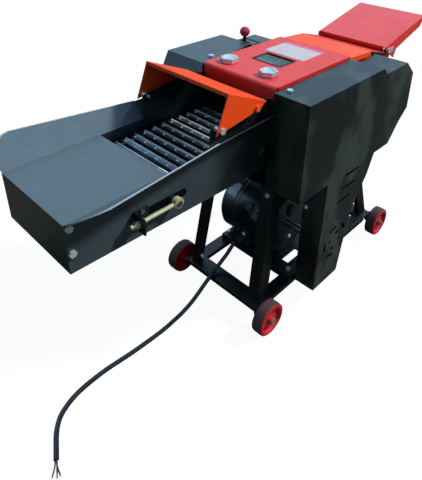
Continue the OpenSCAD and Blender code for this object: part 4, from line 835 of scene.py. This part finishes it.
def make_switch_blocks(axis, radius, shield_y):
    """Switch blocks on the motor's shell, and the junction block on its near shield."""
    along = Vector((0, 1, 0))
    blocks = bmesh.new()
    for turn, y, half in SWITCHES:
        seat, out = around(axis, radius, y, turn)
        block = bmesh.new()
        slab(block, rounded_rect(-half, half, -half, half, WIDE_CORNER), -SWITCH_SUNK, SWITCH_H)
        set_on(block, seat, along, out.cross(along))
        join(blocks, block)
    junction = bmesh.new()
    slab(junction, rounded_rect(*JUNCTION_X, *JUNCTION_Z, JUNCTION_CORNER), 0, JUNCTION_T)
    set_on(junction, (0, shield_y, 0), (1, 0, 0), (0, 0, 1))
    join(blocks, junction)
    mesh_piece("switch_blocks", blocks, "chassis", GREY_PLASTIC, "black_plastic")


def make_reset_button(axis, radius):
    """Red button beside the switch blocks."""
    button = bmesh.new()
    dome(button, *around(axis, radius, BUTTON_Y, BUTTON_TURN), BUTTON_R, BUTTON_H)
    mesh_piece("reset_button", button, "chassis", RESET_RED, "red_knob")


def make_rivets():
    """Rivets on the upper and lower run of slats."""
    slat_low, slat_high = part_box("conveyor_slats")
    rivets = bmesh.new()
    for low, high in islands("conveyor_slats"):
        if high.z - low.z > LEVEL_SLAT_H:
            continue
        top_run = low.z > (slat_low.z + slat_high.z) / 2
        face = low.z + SLAT_BASE if top_run else high.z - SLAT_BASE
        x = low.x + RIVET_X if top_run else high.x - RIVET_X
        out = (0, 0, 1 if top_run else -1)
        pitch = (high.y - low.y - 2 * RIVET_END) / (RIVETS - 1)
        for k in range(RIVETS):
            dome(rivets, (x, low.y + RIVET_END + k * pitch, face), out, RIVET_R, RIVET_H)
    mesh_piece("slat_rivets", rivets, "chassis", BRIGHT_ZINC, "zinc")


def make_pieces():
    cover_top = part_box("top_cover")[1].z
    shield_low, shield_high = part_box("motor_shields")
    motor_axis = (shield_low + shield_high) / 2
    motor_r = (shield_high.x - shield_low.x) / 2
    make_cord()
    make_hems()
    make_gasket(cover_top)
    make_label(cover_top)
    make_screws("screws", SCREWS, ZINC, "zinc")
    make_screws("dark_screws", DARK_SCREWS, BLACK, "black_paint")
    make_wipers()
    make_lever_guide()
    make_motor_plate(motor_axis, motor_r)
    make_switch_blocks(motor_axis, motor_r, shield_low.y)
    make_reset_button(motor_axis, motor_r)
    make_rivets()


# Stage, light and camera

def floor_material():
    """White floor: it keeps a faint shadow near the object, and lights the object no more than a dull one."""
    g = Graph(bpy.data.materials.new("floor"))
    seen = g.seen()
    reach = g.node("ShaderNodeVectorMath", {0: g.coords}, operation="LENGTH").outputs["Value"]
    away = g.ramp(reach, *FLOOR_FADE)
    lit = g.node("ShaderNodeBsdfDiffuse", {"Color": FLOOR_SHADE}).outputs[0]
    glow = g.node("ShaderNodeEmission", {"Color": WHITE, "Strength": FLOOR_GLOW}).outputs[0]
    near = g.node("ShaderNodeAddShader", {0: lit, 1: glow}).outputs[0]
    white = g.node("ShaderNodeEmission", {"Color": WHITE, "Strength": 1.0}).outputs[0]
    shown = g.node("ShaderNodeMixShader", {0: away, 1: near, 2: white}).outputs[0]
    dull = g.node("ShaderNodeBsdfDiffuse", {"Color": FLOOR_DULL}).outputs[0]
    both = g.node("ShaderNodeMixShader", {0: seen, 1: dull, 2: shown}).outputs[0]
    return g.show("Material Output", both)


def make_floor():
    bm = bmesh.new()
    bmesh.ops.create_circle(bm, cap_ends=True, radius=FLOOR_R, segments=FLOOR_SIDES)
    mesh = bpy.data.meshes.new("floor")
    bm.to_mesh(mesh)
    bm.free()
    mesh.materials.append(floor_material())
    floor = bpy.data.objects.new("floor", mesh)
    bpy.context.scene.collection.objects.link(floor)


def make_key_light():
    """A soft sun that leaves no glare of its own in the paint."""
    key = bpy.data.lights.new("key", "SUN")
    key.energy = KEY_ENERGY
    key.angle = math.radians(KEY_ANGLE)
    key.color = KEY_COLOUR
    key_obj = bpy.data.objects.new("key", key)
    key_obj.rotation_euler = Vector(KEY_FROM).to_track_quat("Z", "Y").to_euler()
    key_obj.visible_glossy = False
    bpy.context.scene.collection.objects.link(key_obj)


def make_world():
    """A pale blue softbox overhead that fades towards the horizon, and plain white for the camera."""
    g = Graph(bpy.data.worlds.new("studio"))
    height = g.node("ShaderNodeSeparateXYZ", {0: g.places["Generated"]}).outputs[2]
    glossy = g.node("ShaderNodeLightPath").outputs["Is Glossy Ray"]
    level = g.node("ShaderNodeMapRange", {"Value": glossy, "To Min": SKY_DIFFUSE, "To Max": SKY_GLOSSY})
    strength = g.math("MULTIPLY", g.ramp(height, *SKY_HEIGHT, *SKY_SHARE), level.outputs[0])
    sky = g.put(g.tree.nodes["Background"], {"Color": SKY_COLOUR, "Strength": strength}).outputs[0]
    plain = g.node("ShaderNodeBackground", {"Color": WHITE}).outputs[0]
    both = g.node("ShaderNodeMixShader", {0: g.seen(), 1: sky, 2: plain}).outputs[0]
    bpy.context.scene.world = g.show("World Output", both)


def make_camera():
    """The camera that took the photograph."""
    data = bpy.data.cameras.new("camera")
    data.sensor_width = SENSOR_MM
    data.lens = FOCAL_PX * SENSOR_MM / IMAGE_H
    data.shift_x = (IMAGE_W / 2 - CENTRE_PX[0]) / IMAGE_H
    data.shift_y = (CENTRE_PX[1] - IMAGE_H / 2) / IMAGE_H
    data.clip_end = CLIP_END
    camera = bpy.data.objects.new("camera", data)
    aim = (Matrix.Rotation(math.radians(CAMERA_YAW - 90), 4, "Z")
           @ Matrix.Rotation(math.radians(90 + CAMERA_PITCH), 4, "X")
           @ Matrix.Rotation(math.radians(CAMERA_ROLL), 4, "Z"))
    camera.matrix_world = Matrix.Translation(CAMERA_POS) @ aim
    bpy.context.scene.collection.objects.link(camera)
    bpy.context.scene.camera = camera


dress_nodes()
make_pieces()
make_floor()
make_key_light()
make_world()
make_camera()
bpy.context.scene.view_settings.view_transform = "Standard"
